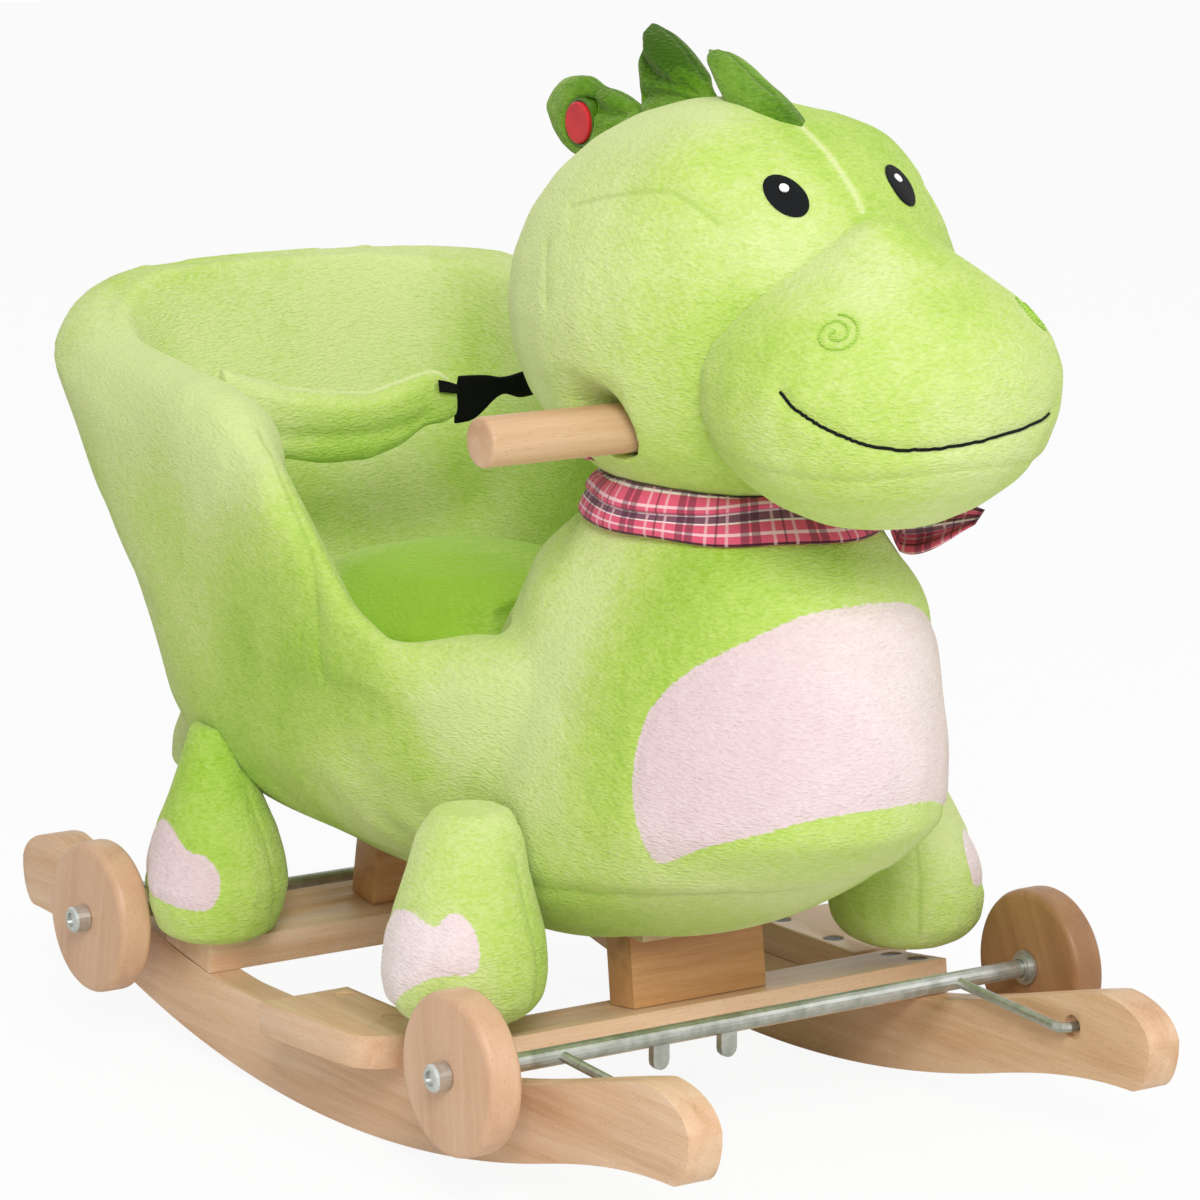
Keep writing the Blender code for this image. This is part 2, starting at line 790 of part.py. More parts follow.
def screw_rings(length, head_dia, head, dia, matrix, grow=0.0, bottom=0.0):
    """A countersunk screw whose head's top is at Z = 0 of its frame and whose shank runs down."""
    profile = [
        (0.0, 0.0 + bottom),
        (head_dia / 2 + grow, 0.0 + bottom),
        (head_dia / 2 + grow, -0.0006),
        (dia / 2 + grow, -head),
        (dia / 2 + grow, -length - grow),
        (0.0, -length - grow),
    ]
    return lathe_rings(profile, in_frame(matrix), 12)


def main():
    clear_scene()
    beech = material("beech", "D8B088", 0.5)
    planks = material("beech_plank", "CFA478", 0.55)
    steel = material("zinc_steel", "9C9E94", 0.38, 0.9)
    dark = material("dark_screw", "3C3B36", 0.5, 0.7)
    bright = material("bright_cap", "C4C6C4", 0.28, 0.95)
    ply = material("plywood", "C9A57A", 0.6)
    green = material("plush_green", "B4D65A", 0.95)
    deep = material("plush_deep_green", "5C9A2A", 0.95)
    black = material("webbing_black", "15181A", 0.8)
    plaid = material("scarf_cloth", "DE6A80", 0.85)
    red = material("button_red", "D6342C", 0.4)
    plastic = material("module_plastic", "E8E4DC", 0.5)

    # Rockers
    rocker_inner_x = ROCKER_OUTER_X - ROCKER_THICK
    screw_x = ROCKER_OUTER_X - ROCKER_THICK / 2
    outline = rocker_outline()
    rockers = {}
    for side, sign in SIDES:
        name = "rocker_" + side
        rocker = prism_solid(name, outline, across_x, sign * rocker_inner_x, sign * ROCKER_OUTER_X, beech)
        edge = rocker.modifiers.new("Rounded edges", "BEVEL")
        edge.width = 0.0022
        edge.segments = 1
        edge.limit_method = "ANGLE"
        edge.angle_limit = math.radians(60)
        rockers[side] = rocker

    # Planks, each with a spacer block, and the seat board on top
    plank_frames = {"front": plank_frame(FRONT_PLANK_Y), "rear": plank_frame(REAR_PLANK_Y)}
    for end, matrix in plank_frames.items():
        half = PLANK_WIDE / 2
        corner = (ROCKER_OUTER_X, half, PLANK_THICK)
        plank = box_solid(end + "_plank", matrix, (-ROCKER_OUTER_X, -half, 0.0), corner, planks)
        top = matrix @ Vector((0.0, 0.0, PLANK_THICK + GAP))
        slope = (matrix.to_3x3() @ Vector((0.0, 1.0, 0.0))).normalized()
        lean = (matrix.to_3x3() @ Vector((0.0, 0.0, 1.0))).normalized()
        block_top = BOARD_UNDER_Z - GAP
        corners = []
        for depth in (-BLOCK_DEEP / 2, BLOCK_DEEP / 2):
            foot = top + slope * depth
            rise = (block_top - foot.z) / lean.z
            head = foot + lean * rise
            corners.append((foot.y, foot.z))
            corners.append((head.y, head.z))
        block_outline = [corners[0], corners[2], corners[3], corners[1]]
        block = prism_solid(end + "_block", block_outline, across_x, -BLOCK_HALF_X, BLOCK_HALF_X, planks)
        # Screws down into the rockers near the plank's ends
        for side, sign in SIDES:
            for where, shift in (("outer", PLANK_SCREW_APART / 2), ("inner", -PLANK_SCREW_APART / 2)):
                spot = matrix @ Matrix.Translation((sign * screw_x, shift, PLANK_THICK - SCREW_SUNK))
                name = "_".join((end, "screw", side, "rear" if shift > 0 else "front"))
                length = PLANK_THICK + SCREW_GRIP
                solid(name, screw_rings(length, SCREW_HEAD_DIA, SCREW_HEAD, SCREW_DIA, spot), dark)
                room = screw_rings(length, SCREW_HEAD_DIA, SCREW_HEAD, SCREW_DIA, spot, GAP, 0.01)
                hole = solid(name + "_hole", room, None)
                cut(plank, hole)
                cut(rockers[side], hole)
        # Bolts up through the plank and the block into the board
        for side, sign in SIDES:
            spot = matrix @ Matrix.Translation((sign * BOLT_X, 0.0, 0.0)) @ Matrix.Rotation(math.pi, 4, "X")
            reach = (BOARD_UNDER_Z + BOARD_THICK * 0.75 - (matrix @ Vector((0, 0, 0))).z) / lean.z
            rows = [
                (0.0, BOLT_HEAD + GAP),
                (BOLT_HEAD_DIA / 2, BOLT_HEAD + GAP),
                (BOLT_HEAD_DIA / 2, GAP),
                (BOLT_DIA / 2, GAP),
                (BOLT_DIA / 2, -reach),
                (0.0, -reach),
            ]
            solid("_".join((end, "bolt", side)), lathe_rings(rows, in_frame(spot), 12), dark)
            bore = BOLT_DIA / 2 + GAP
            rows = [(0.0, 0.01), (bore, 0.01), (bore, -reach - GAP), (0.0, -reach - GAP)]
            hole = solid("_".join((end, "bolt", side, "hole")), lathe_rings(rows, in_frame(spot), 12), None)
            cut(plank, hole)
            cut(block, hole)

    board = box_solid(
        "seat_board",
        Matrix.Identity(4),
        (-BOARD_HALF_X, BOARD_FRONT_Y, BOARD_UNDER_Z),
        (BOARD_HALF_X, BOARD_REAR_Y, BOARD_UNDER_Z + BOARD_THICK),
        ply,
    )
    for end in plank_frames:
        for side, sign in SIDES:
            cut(board, bpy.data.objects["_".join((end, "bolt", side, "hole"))])

    # Footrests
    footrest_low = ROCKER_WAIST + GAP
    for side, sign in SIDES:
        corner = []
        outer_front = FOOTREST_OUTER_X - FOOTREST_TAPER
        for i in range(7):
            turn = math.pi / 2 * i / 6
            corner.append(
                (
                    outer_front - FOOTREST_CORNER + FOOTREST_CORNER * math.cos(turn),
                    FOOTREST_FRONT_Y + FOOTREST_CORNER - FOOTREST_CORNER * math.sin(turn),
                )
            )
        plan = [(rocker_inner_x, FOOTREST_REAR_Y), (FOOTREST_OUTER_X, FOOTREST_REAR_Y)]
        plan += corner + [(rocker_inner_x, FOOTREST_FRONT_Y)]
        footrest = prism_solid(
            "footrest_" + side,
            [(sign * x, y) for x, y in plan],
            lambda u, v, depth: (u, v, depth),
            footrest_low,
            footrest_low + FOOTREST_THICK,
            planks,
        )
        for where, y in zip(("front", "rear"), FOOTREST_SCREW_YS):
            spot = Matrix.Translation((sign * screw_x, y, footrest_low + FOOTREST_THICK - SCREW_SUNK))
            name = "_".join(("footrest_screw", side, where))
            length = FOOTREST_THICK + SCREW_GRIP
            solid(name, screw_rings(length, SCREW_HEAD_DIA, SCREW_HEAD, SCREW_DIA, spot), dark)
            room = screw_rings(length, SCREW_HEAD_DIA, SCREW_HEAD, SCREW_DIA, spot, GAP, 0.01)
            hole = solid(name + "_hole", room, None)
            cut(footrest, hole)
            cut(rockers[side], hole)

    # Handle and neck post
    post = prism_solid("neck_post", post_outline(0.0, 0.0), across_x, -POST_WIDE / 2, POST_WIDE / 2, ply)
    half = HANDLE_LENGTH / 2
    rod = [(0.0, -half), (HANDLE_DIA / 2 - HANDLE_EDGE, -half), (HANDLE_DIA / 2, -half + HANDLE_EDGE)]
    rod += [(HANDLE_DIA / 2, half - HANDLE_EDGE), (HANDLE_DIA / 2 - HANDLE_EDGE, half), (0.0, half)]
    solid("handle_dowel", lathe_rings(rod, about_x(HANDLE_Y, HANDLE_Z), 24), beech)
    bore = [(0.0, -half), (HANDLE_DIA / 2 + GAP, -half), (HANDLE_DIA / 2 + GAP, half), (0.0, half)]
    handle_bore = solid("handle_bore", lathe_rings(bore, about_x(HANDLE_Y, HANDLE_Z), 24), None)
    cut(post, handle_bore)

    # Axle frames, each one welded piece, with washers, wheels and caps
    wheel_inner_x = WHEEL_OUTER_X - WHEEL_THICK
    cap_from = WHEEL_OUTER_X + TURN_GAP
    axle_end = cap_from + AXLE_INTO_CAP
    for end, ahead in (("front", -1.0), ("rear", 1.0)):
        y = ahead * AXLE_Y
        pivot = ahead * PIVOT_Y
        origin = (0.0, pivot, PIVOT_Z)
        r = AXLE_DIA / 2
        bar = [(0.0, -axle_end), (r, -axle_end), (r, axle_end), (0.0, axle_end)]
        frame = solid(end + "_axle_frame", lathe_rings(bar, about_x(y, AXLE_Z), 16), steel, origin)
        for side, sign in SIDES:
            bend = ARM_DIA * 0.9
            pin_x = rocker_inner_x + PIVOT_DEPTH
            path = [
                (sign * ARM_X, y, AXLE_Z),
                (sign * ARM_X, y + (pivot - y) * 0.5, AXLE_Z + (PIVOT_Z - AXLE_Z) * 0.5),
                (sign * ARM_X, pivot - ahead * bend, PIVOT_Z + (AXLE_Z - PIVOT_Z) * 0.05),
                (sign * (ARM_X + bend * 0.3), pivot - ahead * bend * 0.3, PIVOT_Z),
                (sign * (ARM_X + bend), pivot, PIVOT_Z),
                (sign * pin_x, pivot, PIVOT_Z),
            ]
            arm = solid("_".join((end, "arm", side)), tube_rings(path, ARM_DIA / 2, 10), None)
            join(frame, arm)
            place = about_x(pivot, PIVOT_Z, sign)
            recess = rocker_inner_x + PIVOT_RECESS
            bore = ARM_DIA / 2 + PIN_GAP
            hole = [(0.0, rocker_inner_x - 0.01), (PIVOT_RECESS_DIA / 2, rocker_inner_x - 0.01)]
            hole += [(PIVOT_RECESS_DIA / 2, recess), (bore, recess)]
            hole += [(bore, pin_x + PIN_GAP), (0.0, pin_x + PIN_GAP)]
            cut(rockers[side], solid("_".join((end, "pivot_hole", side)), lathe_rings(hole, place, 14), None))
        for k, x in enumerate(TAB_XS):
            tab = []
            low = AXLE_Z - r - TAB_DROP
            for i in range(7):
                turn = math.pi * i / 6
                tab.append((x - TAB_WIDE / 2 * math.cos(turn), low + TAB_WIDE / 2 * (1 - math.sin(turn))))
            tab += [(x + TAB_WIDE / 2, AXLE_Z), (x - TAB_WIDE / 2, AXLE_Z)]
            name = "_".join((end, "tab", str(k)))
            half = TAB_THICK / 2
            plate = prism_solid(name, tab, lambda u, v, depth: (u, depth, v), y - half, y + half, None)
            join(frame, plate)
        for side, sign in SIDES:
            hub = (sign * (wheel_inner_x + WHEEL_THICK / 2), y, AXLE_Z)
            place = about_x(y, AXLE_Z, sign)
            bore_r = r + TURN_GAP
            rim = WHEEL_DIA / 2
            inner, outer, edge = wheel_inner_x, WHEEL_OUTER_X, WHEEL_EDGE
            profile = [(bore_r, inner), (rim - edge, inner)]
            for i in range(1, 4):
                turn = math.pi / 2 * i / 3
                profile.append((rim - edge + edge * math.sin(turn), inner + edge - edge * math.cos(turn)))
            for i in range(0, 4):
                turn = math.pi / 2 * i / 3
                profile.append((rim - edge + edge * math.cos(turn), outer - edge + edge * math.sin(turn)))
            profile.append((bore_r, outer))
            closed_ring_solid("_".join((end, "wheel", side)), profile, place, 36, beech, hub)
            tight = r + GAP
            seat = wheel_inner_x - TURN_GAP
            washer = [
                (tight, seat - WASHER_THICK - WASHER_STEP),
                (WASHER_STEP_DIA / 2, seat - WASHER_THICK - WASHER_STEP),
                (WASHER_STEP_DIA / 2, seat - WASHER_THICK),
                (WASHER_DIA / 2, seat - WASHER_THICK),
                (WASHER_DIA / 2, seat),
                (tight, seat),
            ]
            closed_ring_solid("_".join((end, "washer", side)), washer, place, 20, steel, origin)
            tip = cap_from + CAP_LENGTH
            cap = [
                (0.0, axle_end + GAP),
                (tight, axle_end + GAP),
                (tight, cap_from),
                (CAP_DIA / 2, cap_from),
                (CAP_DIA / 2, tip - CAP_EDGE),
                (CAP_DIA / 2 - CAP_EDGE, tip),
                (CAP_DISH_DIA / 2, tip),
                (CAP_DISH_DIA / 2, tip - CAP_DISH),
                (0.0, tip - CAP_DISH),
            ]
            solid("_".join((end, "hub_cap", side)), lathe_rings(cap, place, 20), bright, origin)

    # Plush body: chest and neck joined to the tub, over the board and the post
    body = solid("body_plush", tub_rings(), green)
    join(body, solid("chest", chest_rings(), None))
    board_room = box_solid(
        "board_room",
        Matrix.Identity(4),
        (-BOARD_HALF_X - GAP, BOARD_FRONT_Y - GAP, BOARD_UNDER_Z - 0.02),
        (BOARD_HALF_X + GAP, BOARD_REAR_Y + GAP, BOARD_UNDER_Z + BOARD_THICK + GAP),
    )
    cut(body, board_room)
    side = POST_WIDE / 2 + GAP
    post_room = prism_solid("post_room", post_outline(GAP, BOARD_THICK / 2), across_x, -side, side, None)
    cut(body, post_room)
    # The axles swing past the body and the tail without touching them
    sweep = math.hypot(PIVOT_Y - AXLE_Y, PIVOT_Z - AXLE_Z) + AXLE_DIA / 2 + AXLE_ROOM
    axle_rooms = {}
    for end, ahead in (("front", -1.0), ("rear", 1.0)):
        rows = [(0.0, -axle_end), (sweep, -axle_end), (sweep, axle_end), (0.0, axle_end)]
        room = lathe_rings(rows, about_x(ahead * PIVOT_Y, PIVOT_Z), 60)
        axle_rooms[end] = solid(end + "_axle_room", room, None)
        cut(body, axle_rooms[end])

    tub_room = solid("tub_room", tub_rings(GAP), None)
    chest_room = solid("chest_room", chest_rings(GAP), None)
    head_room = solid("head_room", head_rings(GAP), None)

    head = solid("head_plush", head_rings(), green)
    cut(head, chest_room)
    cut(head, post_room)
    cut(head, handle_bore)
    for side, sign in SIDES:
        rows = [(0.0, DIMPLE_X), (HANDLE_DIA / 2 + GAP, DIMPLE_X)]
        rows += [(DIMPLE_DIA / 2, HEAD_HALF_X), (0.0, HEAD_HALF_X)]
        dimple = lathe_rings(rows, about_x(HANDLE_Y, HANDLE_Z, sign), 20)
        cut(head, solid("dimple_" + side, dimple, None))

    snout = solid("snout_plush", snout_rings(), green)
    cut(snout, head_room)
    cut(snout, chest_room)

    # Legs are sewn to the body and keep clear of the swinging wheels. The rear ones stand on the rockers
    foot_rows = ((0.0, 0.55), (0.05, 0.80))
    front_rows = foot_rows + ((0.13, 0.95), (0.25, 1.0), (0.42, 0.96), (0.59, 0.83))
    front_rows += ((0.73, 0.73), (0.88, 0.65), (1.0, 0.46))
    rear_rows = foot_rows + ((0.14, 0.92), (0.26, 1.0), (0.39, 0.95), (0.52, 0.84))
    rear_rows += ((0.66, 0.66), (0.82, 0.50), (1.0, 0.34))
    swing_reach = math.hypot(PIVOT_Y - AXLE_Y, PIVOT_Z - AXLE_Z) + WHEEL_DIA / 2 + WHEEL_ROOM
    front_heights = (FRONT_LEG_LOW, FRONT_LEG_HIGH)
    rear_heights = (REAR_LEG_LOW, REAR_LEG_HIGH)
    front_leg = (FRONT_LEG_FOOT, FRONT_LEG_TOP, front_heights, FRONT_LEG_RADIUS, FRONT_LEG_LEAN, front_rows)
    rear_leg = (REAR_LEG_FOOT, REAR_LEG_TOP, rear_heights, REAR_LEG_RADIUS, REAR_LEG_LEAN, rear_rows)
    for end, ahead, leg_form in (("front", -1.0, front_leg), ("rear", 1.0, rear_leg)):
        half = PLANK_WIDE / 2 + GAP
        corner = (ROCKER_OUTER_X + GAP, half, PLANK_THICK + GAP)
        plank_room = box_solid(end + "_plank_room", plank_frames[end], (-corner[0], -half, -0.02), corner)
        for side, sign in SIDES:
            leg = solid("_".join((end, "leg", side)), leg_rings(sign, *leg_form), green)
            cut(leg, tub_room)
            cut(leg, chest_room)
            cut(leg, plank_room)
            room = [(0.0, wheel_inner_x - WHEEL_ROOM), (swing_reach, wheel_inner_x - WHEEL_ROOM)]
            room += [(swing_reach, WHEEL_OUTER_X + 0.02), (0.0, WHEEL_OUTER_X + 0.02)]
            place = about_x(ahead * PIVOT_Y, PIVOT_Z, sign)
            cut(leg, solid("_".join((end, "wheel_room", side)), lathe_rings(room, place, 48), None))
            if end == "front":
                low = footrest_low + FOOTREST_THICK + GAP
                corner = (FOOTREST_OUTER_X + 0.02, FOOTREST_REAR_Y + 0.03, low)
                mirror = Matrix.Diagonal((sign, 1, 1, 1))
                cut(leg, box_solid(side + "_footrest_room", mirror, (0.0, -0.2, low - 0.03), corner))
            else:
                low = ROCKER_WAIST + GAP
                cut(leg, rocker_room(side, sign))

    # Seat cushion
    rings = []
    low = TUB_FLOOR_Z + GAP
    for share, height in ((0.80, 0.0), (0.95, 0.18), (1.0, 0.5), (0.97, 0.78), (0.86, 1.0)):
        ring = []
        for i in range(24):
            turn = 2 * math.pi * i / 24
            c, s = math.cos(turn), math.sin(turn)
            pull = 1.0 - 0.03 * math.cos(4 * turn) * (1.0 - height)
            x = CUSHION_HALF_X * share * pull * math.copysign(abs(c) ** 0.8, c)
            y = CUSHION_Y + CUSHION_HALF_Y * share * pull * math.copysign(abs(s) ** 0.8, s)
            ring.append((x, y, low + CUSHION_THICK * height))
        rings.append(ring)
    for share, height in ((0.62, 0.62), (0.32, 0.92)):
        ring = []
        for x, y, z in rings[4]:
            crown = low + CUSHION_THICK + CUSHION_CROWN * height
            ring.append((x / 0.86 * share, CUSHION_Y + (y - CUSHION_Y) / 0.86 * share, crown))
        rings.append(ring)
    rings = [[(0.0, CUSHION_Y, low)]] + rings + [[(0.0, CUSHION_Y, low + CUSHION_THICK + CUSHION_CROWN)]]
    cushion = solid("seat_cushion", rings, green)
    cut(cushion, chest_room)

    # Tail
    rings = []
    for k, (y, z, radius) in enumerate(TAIL_LINE):
        before = TAIL_LINE[max(k - 1, 0)]
        after = TAIL_LINE[k + 1] if k + 1 < len(TAIL_LINE) else (TAIL_TIP_Y, TAIL_TIP_Z)
        along = Vector((after[0] - before[0], after[1] - before[1])).normalized()
        ring = []
        for i in range(14):
            turn = 2 * math.pi * i / 14
            rise = radius * math.sin(turn)
            ring.append((radius * math.cos(turn), y - along.y * rise, z + along.x * rise))
        rings.append(ring)
    y, z, radius = TAIL_LINE[-1]
    tip = []
    for x0, y0, z0 in rings[-1]:
        tip.append((x0 * 0.74, TAIL_TIP_Y + (y0 - TAIL_TIP_Y) * 0.48, TAIL_TIP_Z + (z0 - TAIL_TIP_Z) * 0.48))
    rings = [[(0.0, TAIL_LINE[0][0], TAIL_LINE[0][1])]] + rings + [tip, [(0.0, TAIL_TIP_Y, TAIL_TIP_Z)]]
    tail = solid("tail_plush", rings, green)
    cut(tail, tub_room)
    cut(tail, axle_rooms["rear"])

    # Safety belt: a padded part and a strap
    rings = []
    for k in range(9):
        part = k / 8
        x = PAD_FROM_X + (PAD_TO_X - PAD_FROM_X) * part
        swell = math.sin(math.pi * min(max(part, 0.08), 0.94)) ** 0.45
        ring = []
        for i in range(12):
            turn = 2 * math.pi * i / 12
            c, s = math.cos(turn), math.sin(turn)
            rise = PAD_HIGH / 2 * swell * math.copysign(abs(s) ** 0.8, s)
            ring.append((x, BELT_Y + PAD_THICK / 2 * swell * c, BELT_Z + rise))
        rings.append(ring)
    rings = [[(PAD_FROM_X, BELT_Y, BELT_Z)]] + rings + [[(PAD_TO_X, BELT_Y, BELT_Z)]]
    pad = solid("belt_pad", rings, green)
    cut(pad, tub_room)
    rings = []
    strap_from = PAD_TO_X + GAP
    for k in range(9):
        part = k / 8
        x = strap_from + (STRAP_TO_X - strap_from) * part
        twist = math.radians(60) * part
        ring = []
        for u, v in ((-0.5, -0.5), (0.5, -0.5), (0.5, 0.5), (-0.5, 0.5)):
            a = u * STRAP_THICK
            b = v * STRAP_HIGH
            y = BELT_Y + a * math.cos(twist) - b * math.sin(twist)
            ring.append((x, y, BELT_Z + a * math.sin(twist) + b * math.cos(twist)))
        rings.append(ring)
    rings = [[(strap_from, BELT_Y, BELT_Z)]] + rings + [[(STRAP_TO_X, BELT_Y, BELT_Z)]]
    strap = solid("belt_strap", rings, black, smooth=False)
    cut(strap, tub_room)

    # Scarf, in two long folds round the neck
    points = []
    stations = 28
    section = ((0.0, -0.5), (0.9, -0.42), (1.0, -0.2), (0.62, 0.0), (0.95, 0.2), (0.8, 0.42), (0.0, 0.5))
    for i in range(stations):
        turn = 2 * math.pi * i / stations
        lean = (1 + math.sin(turn)) / 2
        middle = SCARF_FRONT_Z + (SCARF_REAR_Z - SCARF_FRONT_Z) * lean
        for out, up in section:
            z = middle + SCARF_HIGH * up
            base = chest_ring(z, GAP * 2, stations)[i]
            centre = smooth_between([(r[0], r[2]) for r in CHEST_LEVELS], z)
            away = Vector((base[0], base[1] - centre, 0.0)).normalized()
            points.append((base[0] + away.x * SCARF_THICK * out, base[1] + away.y * SCARF_THICK * out, z))
    faces = []
    count = len(section)
    for i in range(stations):
        j = (i + 1) % stations
        for k in range(count):
            m = (k + 1) % count
            faces.append((i * count + k, i * count + m, j * count + m, j * count + k))
    scarf = make_object("scarf_band", points, facing_out(points, faces), plaid)
    cut(scarf, chest_room)
    cut(scarf, head_room)
    snout_room = solid("snout_room", snout_rings(GAP), None)
    cut(scarf, snout_room)

    # Scarf knot with its loose end
    turn = math.radians(KNOT_TURN - 90)
    z = SCARF_FRONT_Z + (SCARF_REAR_Z - SCARF_FRONT_Z) * (1 + math.sin(turn)) / 2
    centre = smooth_between([(r[0], r[2]) for r in CHEST_LEVELS], z)
    half_x = smooth_between([(r[0], r[1]) for r in CHEST_LEVELS], z)
    half_y = smooth_between([(r[0], r[3]) for r in CHEST_LEVELS], z)
    root = Vector((half_x * math.cos(turn), centre + half_y * math.sin(turn), z))
    away = Vector((math.cos(turn), math.sin(turn), 0.0))
    side = Vector((-away.y, away.x, 0.0))
    start = root + away * (SCARF_THICK + GAP * 4)
    rings = []
    for part, wide, high, drop in KNOT_ROWS:
        ring = []
        for i in range(12):
            spin = 2 * math.pi * i / 12
            spot = start + away * KNOT_REACH * part + side * (wide * math.cos(spin))
            ring.append((spot.x, spot.y, spot.z - drop + high * math.sin(spin)))
        rings.append(ring)
    ends = [[tuple(sum((Vector(p) for p in ring), Vector()) / 12)] for ring in (rings[0], rings[-1])]
    knot = solid("scarf_knot", [ends[0]] + rings + [ends[1]], plaid)
    cut(knot, chest_room)
    cut(knot, snout_room)

    # Spikes along the head, each a stuffed fin, and the sound button in the rear one
    ahead = None
    for name, foot, tip, half, foot_share, fullest in reversed(SPIKES):
        outline = leaf_outline(foot, tip, half, foot_share, fullest)
        spike = solid(name, fin_rings(outline, SPIKE_THICK), deep)
        cut(spike, head_room)
        if ahead is not None:
            cut(spike, ahead)
        outline = leaf_outline(foot, tip, half, foot_share, fullest, GAP)
        ahead = helper(solid(name + "_room", fin_rings(outline, SPIKE_THICK + 2 * GAP), None))
    place = about_x(BUTTON_Y, BUTTON_Z, -1.0)
    button_r = BUTTON_DIA / 2
    cup_r = button_r + TURN_GAP + MODULE_WALL
    back = MODULE_FACE_X - MODULE_DEEP
    cup = [
        (0.0, back),
        (cup_r, back),
        (cup_r, MODULE_FACE_X),
        (button_r + TURN_GAP, MODULE_FACE_X),
        (button_r + TURN_GAP, back + MODULE_WALL),
        (0.0, back + MODULE_WALL),
    ]
    solid("sound_module", lathe_rings(cup, place, 24), plastic)
    room_r = cup_r + GAP
    beyond = MODULE_FACE_X + 0.02
    rows = [(0.0, back - GAP), (room_r, back - GAP), (room_r, beyond), (0.0, beyond)]
    cut(bpy.data.objects["spike_rear"], solid("module_room", lathe_rings(rows, place, 24), None))
    seat = back + MODULE_WALL + BUTTON_TRAVEL + GAP
    face = MODULE_FACE_X + BUTTON_PROUD
    rows = [(0.0, seat), (button_r, seat), (button_r, face - 0.0006), (button_r - 0.0008, face), (0.0, face)]
    solid("sound_button", lathe_rings(rows, place, 24), red, (-face, BUTTON_Y, BUTTON_Z))


main()
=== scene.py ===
"""A plush dinosaur ride-on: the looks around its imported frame.

Metres, +Z up. The toy faces -Y and its left side is +X, as in the frame.
"""

import math

import bmesh
import bpy
import numpy as np
from mathutils import Matrix, Vector
from mathutils.bvhtree import BVHTree


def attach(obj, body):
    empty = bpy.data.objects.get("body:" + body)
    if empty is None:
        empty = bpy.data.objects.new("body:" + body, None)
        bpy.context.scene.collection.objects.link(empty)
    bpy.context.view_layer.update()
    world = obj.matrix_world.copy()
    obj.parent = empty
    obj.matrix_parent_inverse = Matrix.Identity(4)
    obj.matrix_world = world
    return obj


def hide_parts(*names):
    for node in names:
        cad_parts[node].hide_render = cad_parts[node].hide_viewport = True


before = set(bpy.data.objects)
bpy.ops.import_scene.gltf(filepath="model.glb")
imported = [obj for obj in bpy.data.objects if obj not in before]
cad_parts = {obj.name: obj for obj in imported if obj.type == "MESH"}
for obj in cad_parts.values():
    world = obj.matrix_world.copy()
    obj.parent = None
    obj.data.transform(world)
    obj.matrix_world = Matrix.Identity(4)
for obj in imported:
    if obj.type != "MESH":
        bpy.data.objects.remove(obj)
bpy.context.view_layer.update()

MM = 0.001
UP = Vector((0.0, 0.0, 1.0))
SIDES = (("left", 1.0), ("right", -1.0))
# The handle's middle line, as Y and height
HANDLE = (-0.178, 0.350)
HANDLE_RADIUS = 0.0115
HANDLE_LENGTH = 0.300
HANDLE_GAP = 0.0002


# The bench: picking, naming and finishing a piece by hand


def put_down():
    """Leaves edit mode and picks nothing."""
    if bpy.context.mode != "OBJECT":
        bpy.ops.object.mode_set(mode="OBJECT")
    bpy.ops.object.select_all(action="DESELECT")


def pick_up(piece):
    put_down()
    piece.select_set(True)
    bpy.context.view_layer.objects.active = piece


def open_up(piece):
    """Picks the whole of a piece in edit mode."""
    pick_up(piece)
    bpy.ops.object.mode_set(mode="EDIT")
    bpy.ops.mesh.select_all(action="SELECT")


def place(name, data):
    """A new object in the scene for a mesh, a curve, a lamp or a camera."""
    made = bpy.data.objects.new(name, data)
    bpy.context.scene.collection.objects.link(made)
    return made


def begin(name, look):
    """Names the primitive that was just added and gives it its material."""
    piece = bpy.context.view_layer.objects.active
    piece.name = name
    piece.data.name = name
    if look is not None:
        piece.data.materials.append(look)
    return piece


def settle(piece):
    """Puts the piece's place, turn and scale into its mesh."""
    pick_up(piece)
    bpy.ops.object.transform_apply(location=True, rotation=True, scale=True)


def finish_with(piece, kind, **settings):
    """Adds a modifier with these settings and applies it."""
    step = piece.modifiers.new(kind.title(), kind)
    for key, value in settings.items():
        setattr(step, key, value)
    pick_up(piece)
    bpy.ops.object.modifier_apply(modifier=step.name)


def shade(piece, angle):
    pick_up(piece)
    bpy.ops.object.shade_smooth_by_angle(angle=math.radians(angle))


def ease_edges(piece, width, segments=3, angle=40):
    """Rounds the piece's sharp edges and shades the rest smooth."""
    sharp = math.radians(angle)
    finish_with(piece, "BEVEL", width=width, segments=segments, limit_method="ANGLE", angle_limit=sharp)
    shade(piece, 35)


def face_outwards(piece, merge=1e-6):
    open_up(piece)
    bpy.ops.mesh.remove_doubles(threshold=merge)
    bpy.ops.mesh.normals_make_consistent(inside=False)
    bpy.ops.object.mode_set(mode="OBJECT")


def turned_bar(name, look, radius, length, middle, sides):
    """A round bar or disc that lies across the toy."""
    put_down()
    bpy.ops.mesh.primitive_cylinder_add(
        vertices=sides, radius=radius, depth=length, location=middle, rotation=(0, math.pi / 2, 0)
    )
    bar = begin(name, look)
    settle(bar)
    return bar


def cut_away(piece, cutter):
    finish_with(piece, "BOOLEAN", operation="DIFFERENCE", solver="EXACT", object=cutter)
    bpy.data.objects.remove(cutter, do_unlink=True)


def copy_of(node, name, look):
    """A CAD node's mesh as a new piece, its loose triangles merged."""
    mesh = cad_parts[node].data.copy()
    mesh.name = name
    mesh.materials.clear()
    mesh.materials.append(look)
    piece = place(name, mesh)
    face_outwards(piece, 1e-5)
    return piece


def stand_in(piece, node, body="base"):
    """The piece takes a CAD node's place, which is hidden, and joins a body."""
    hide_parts(node)
    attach(piece, body)


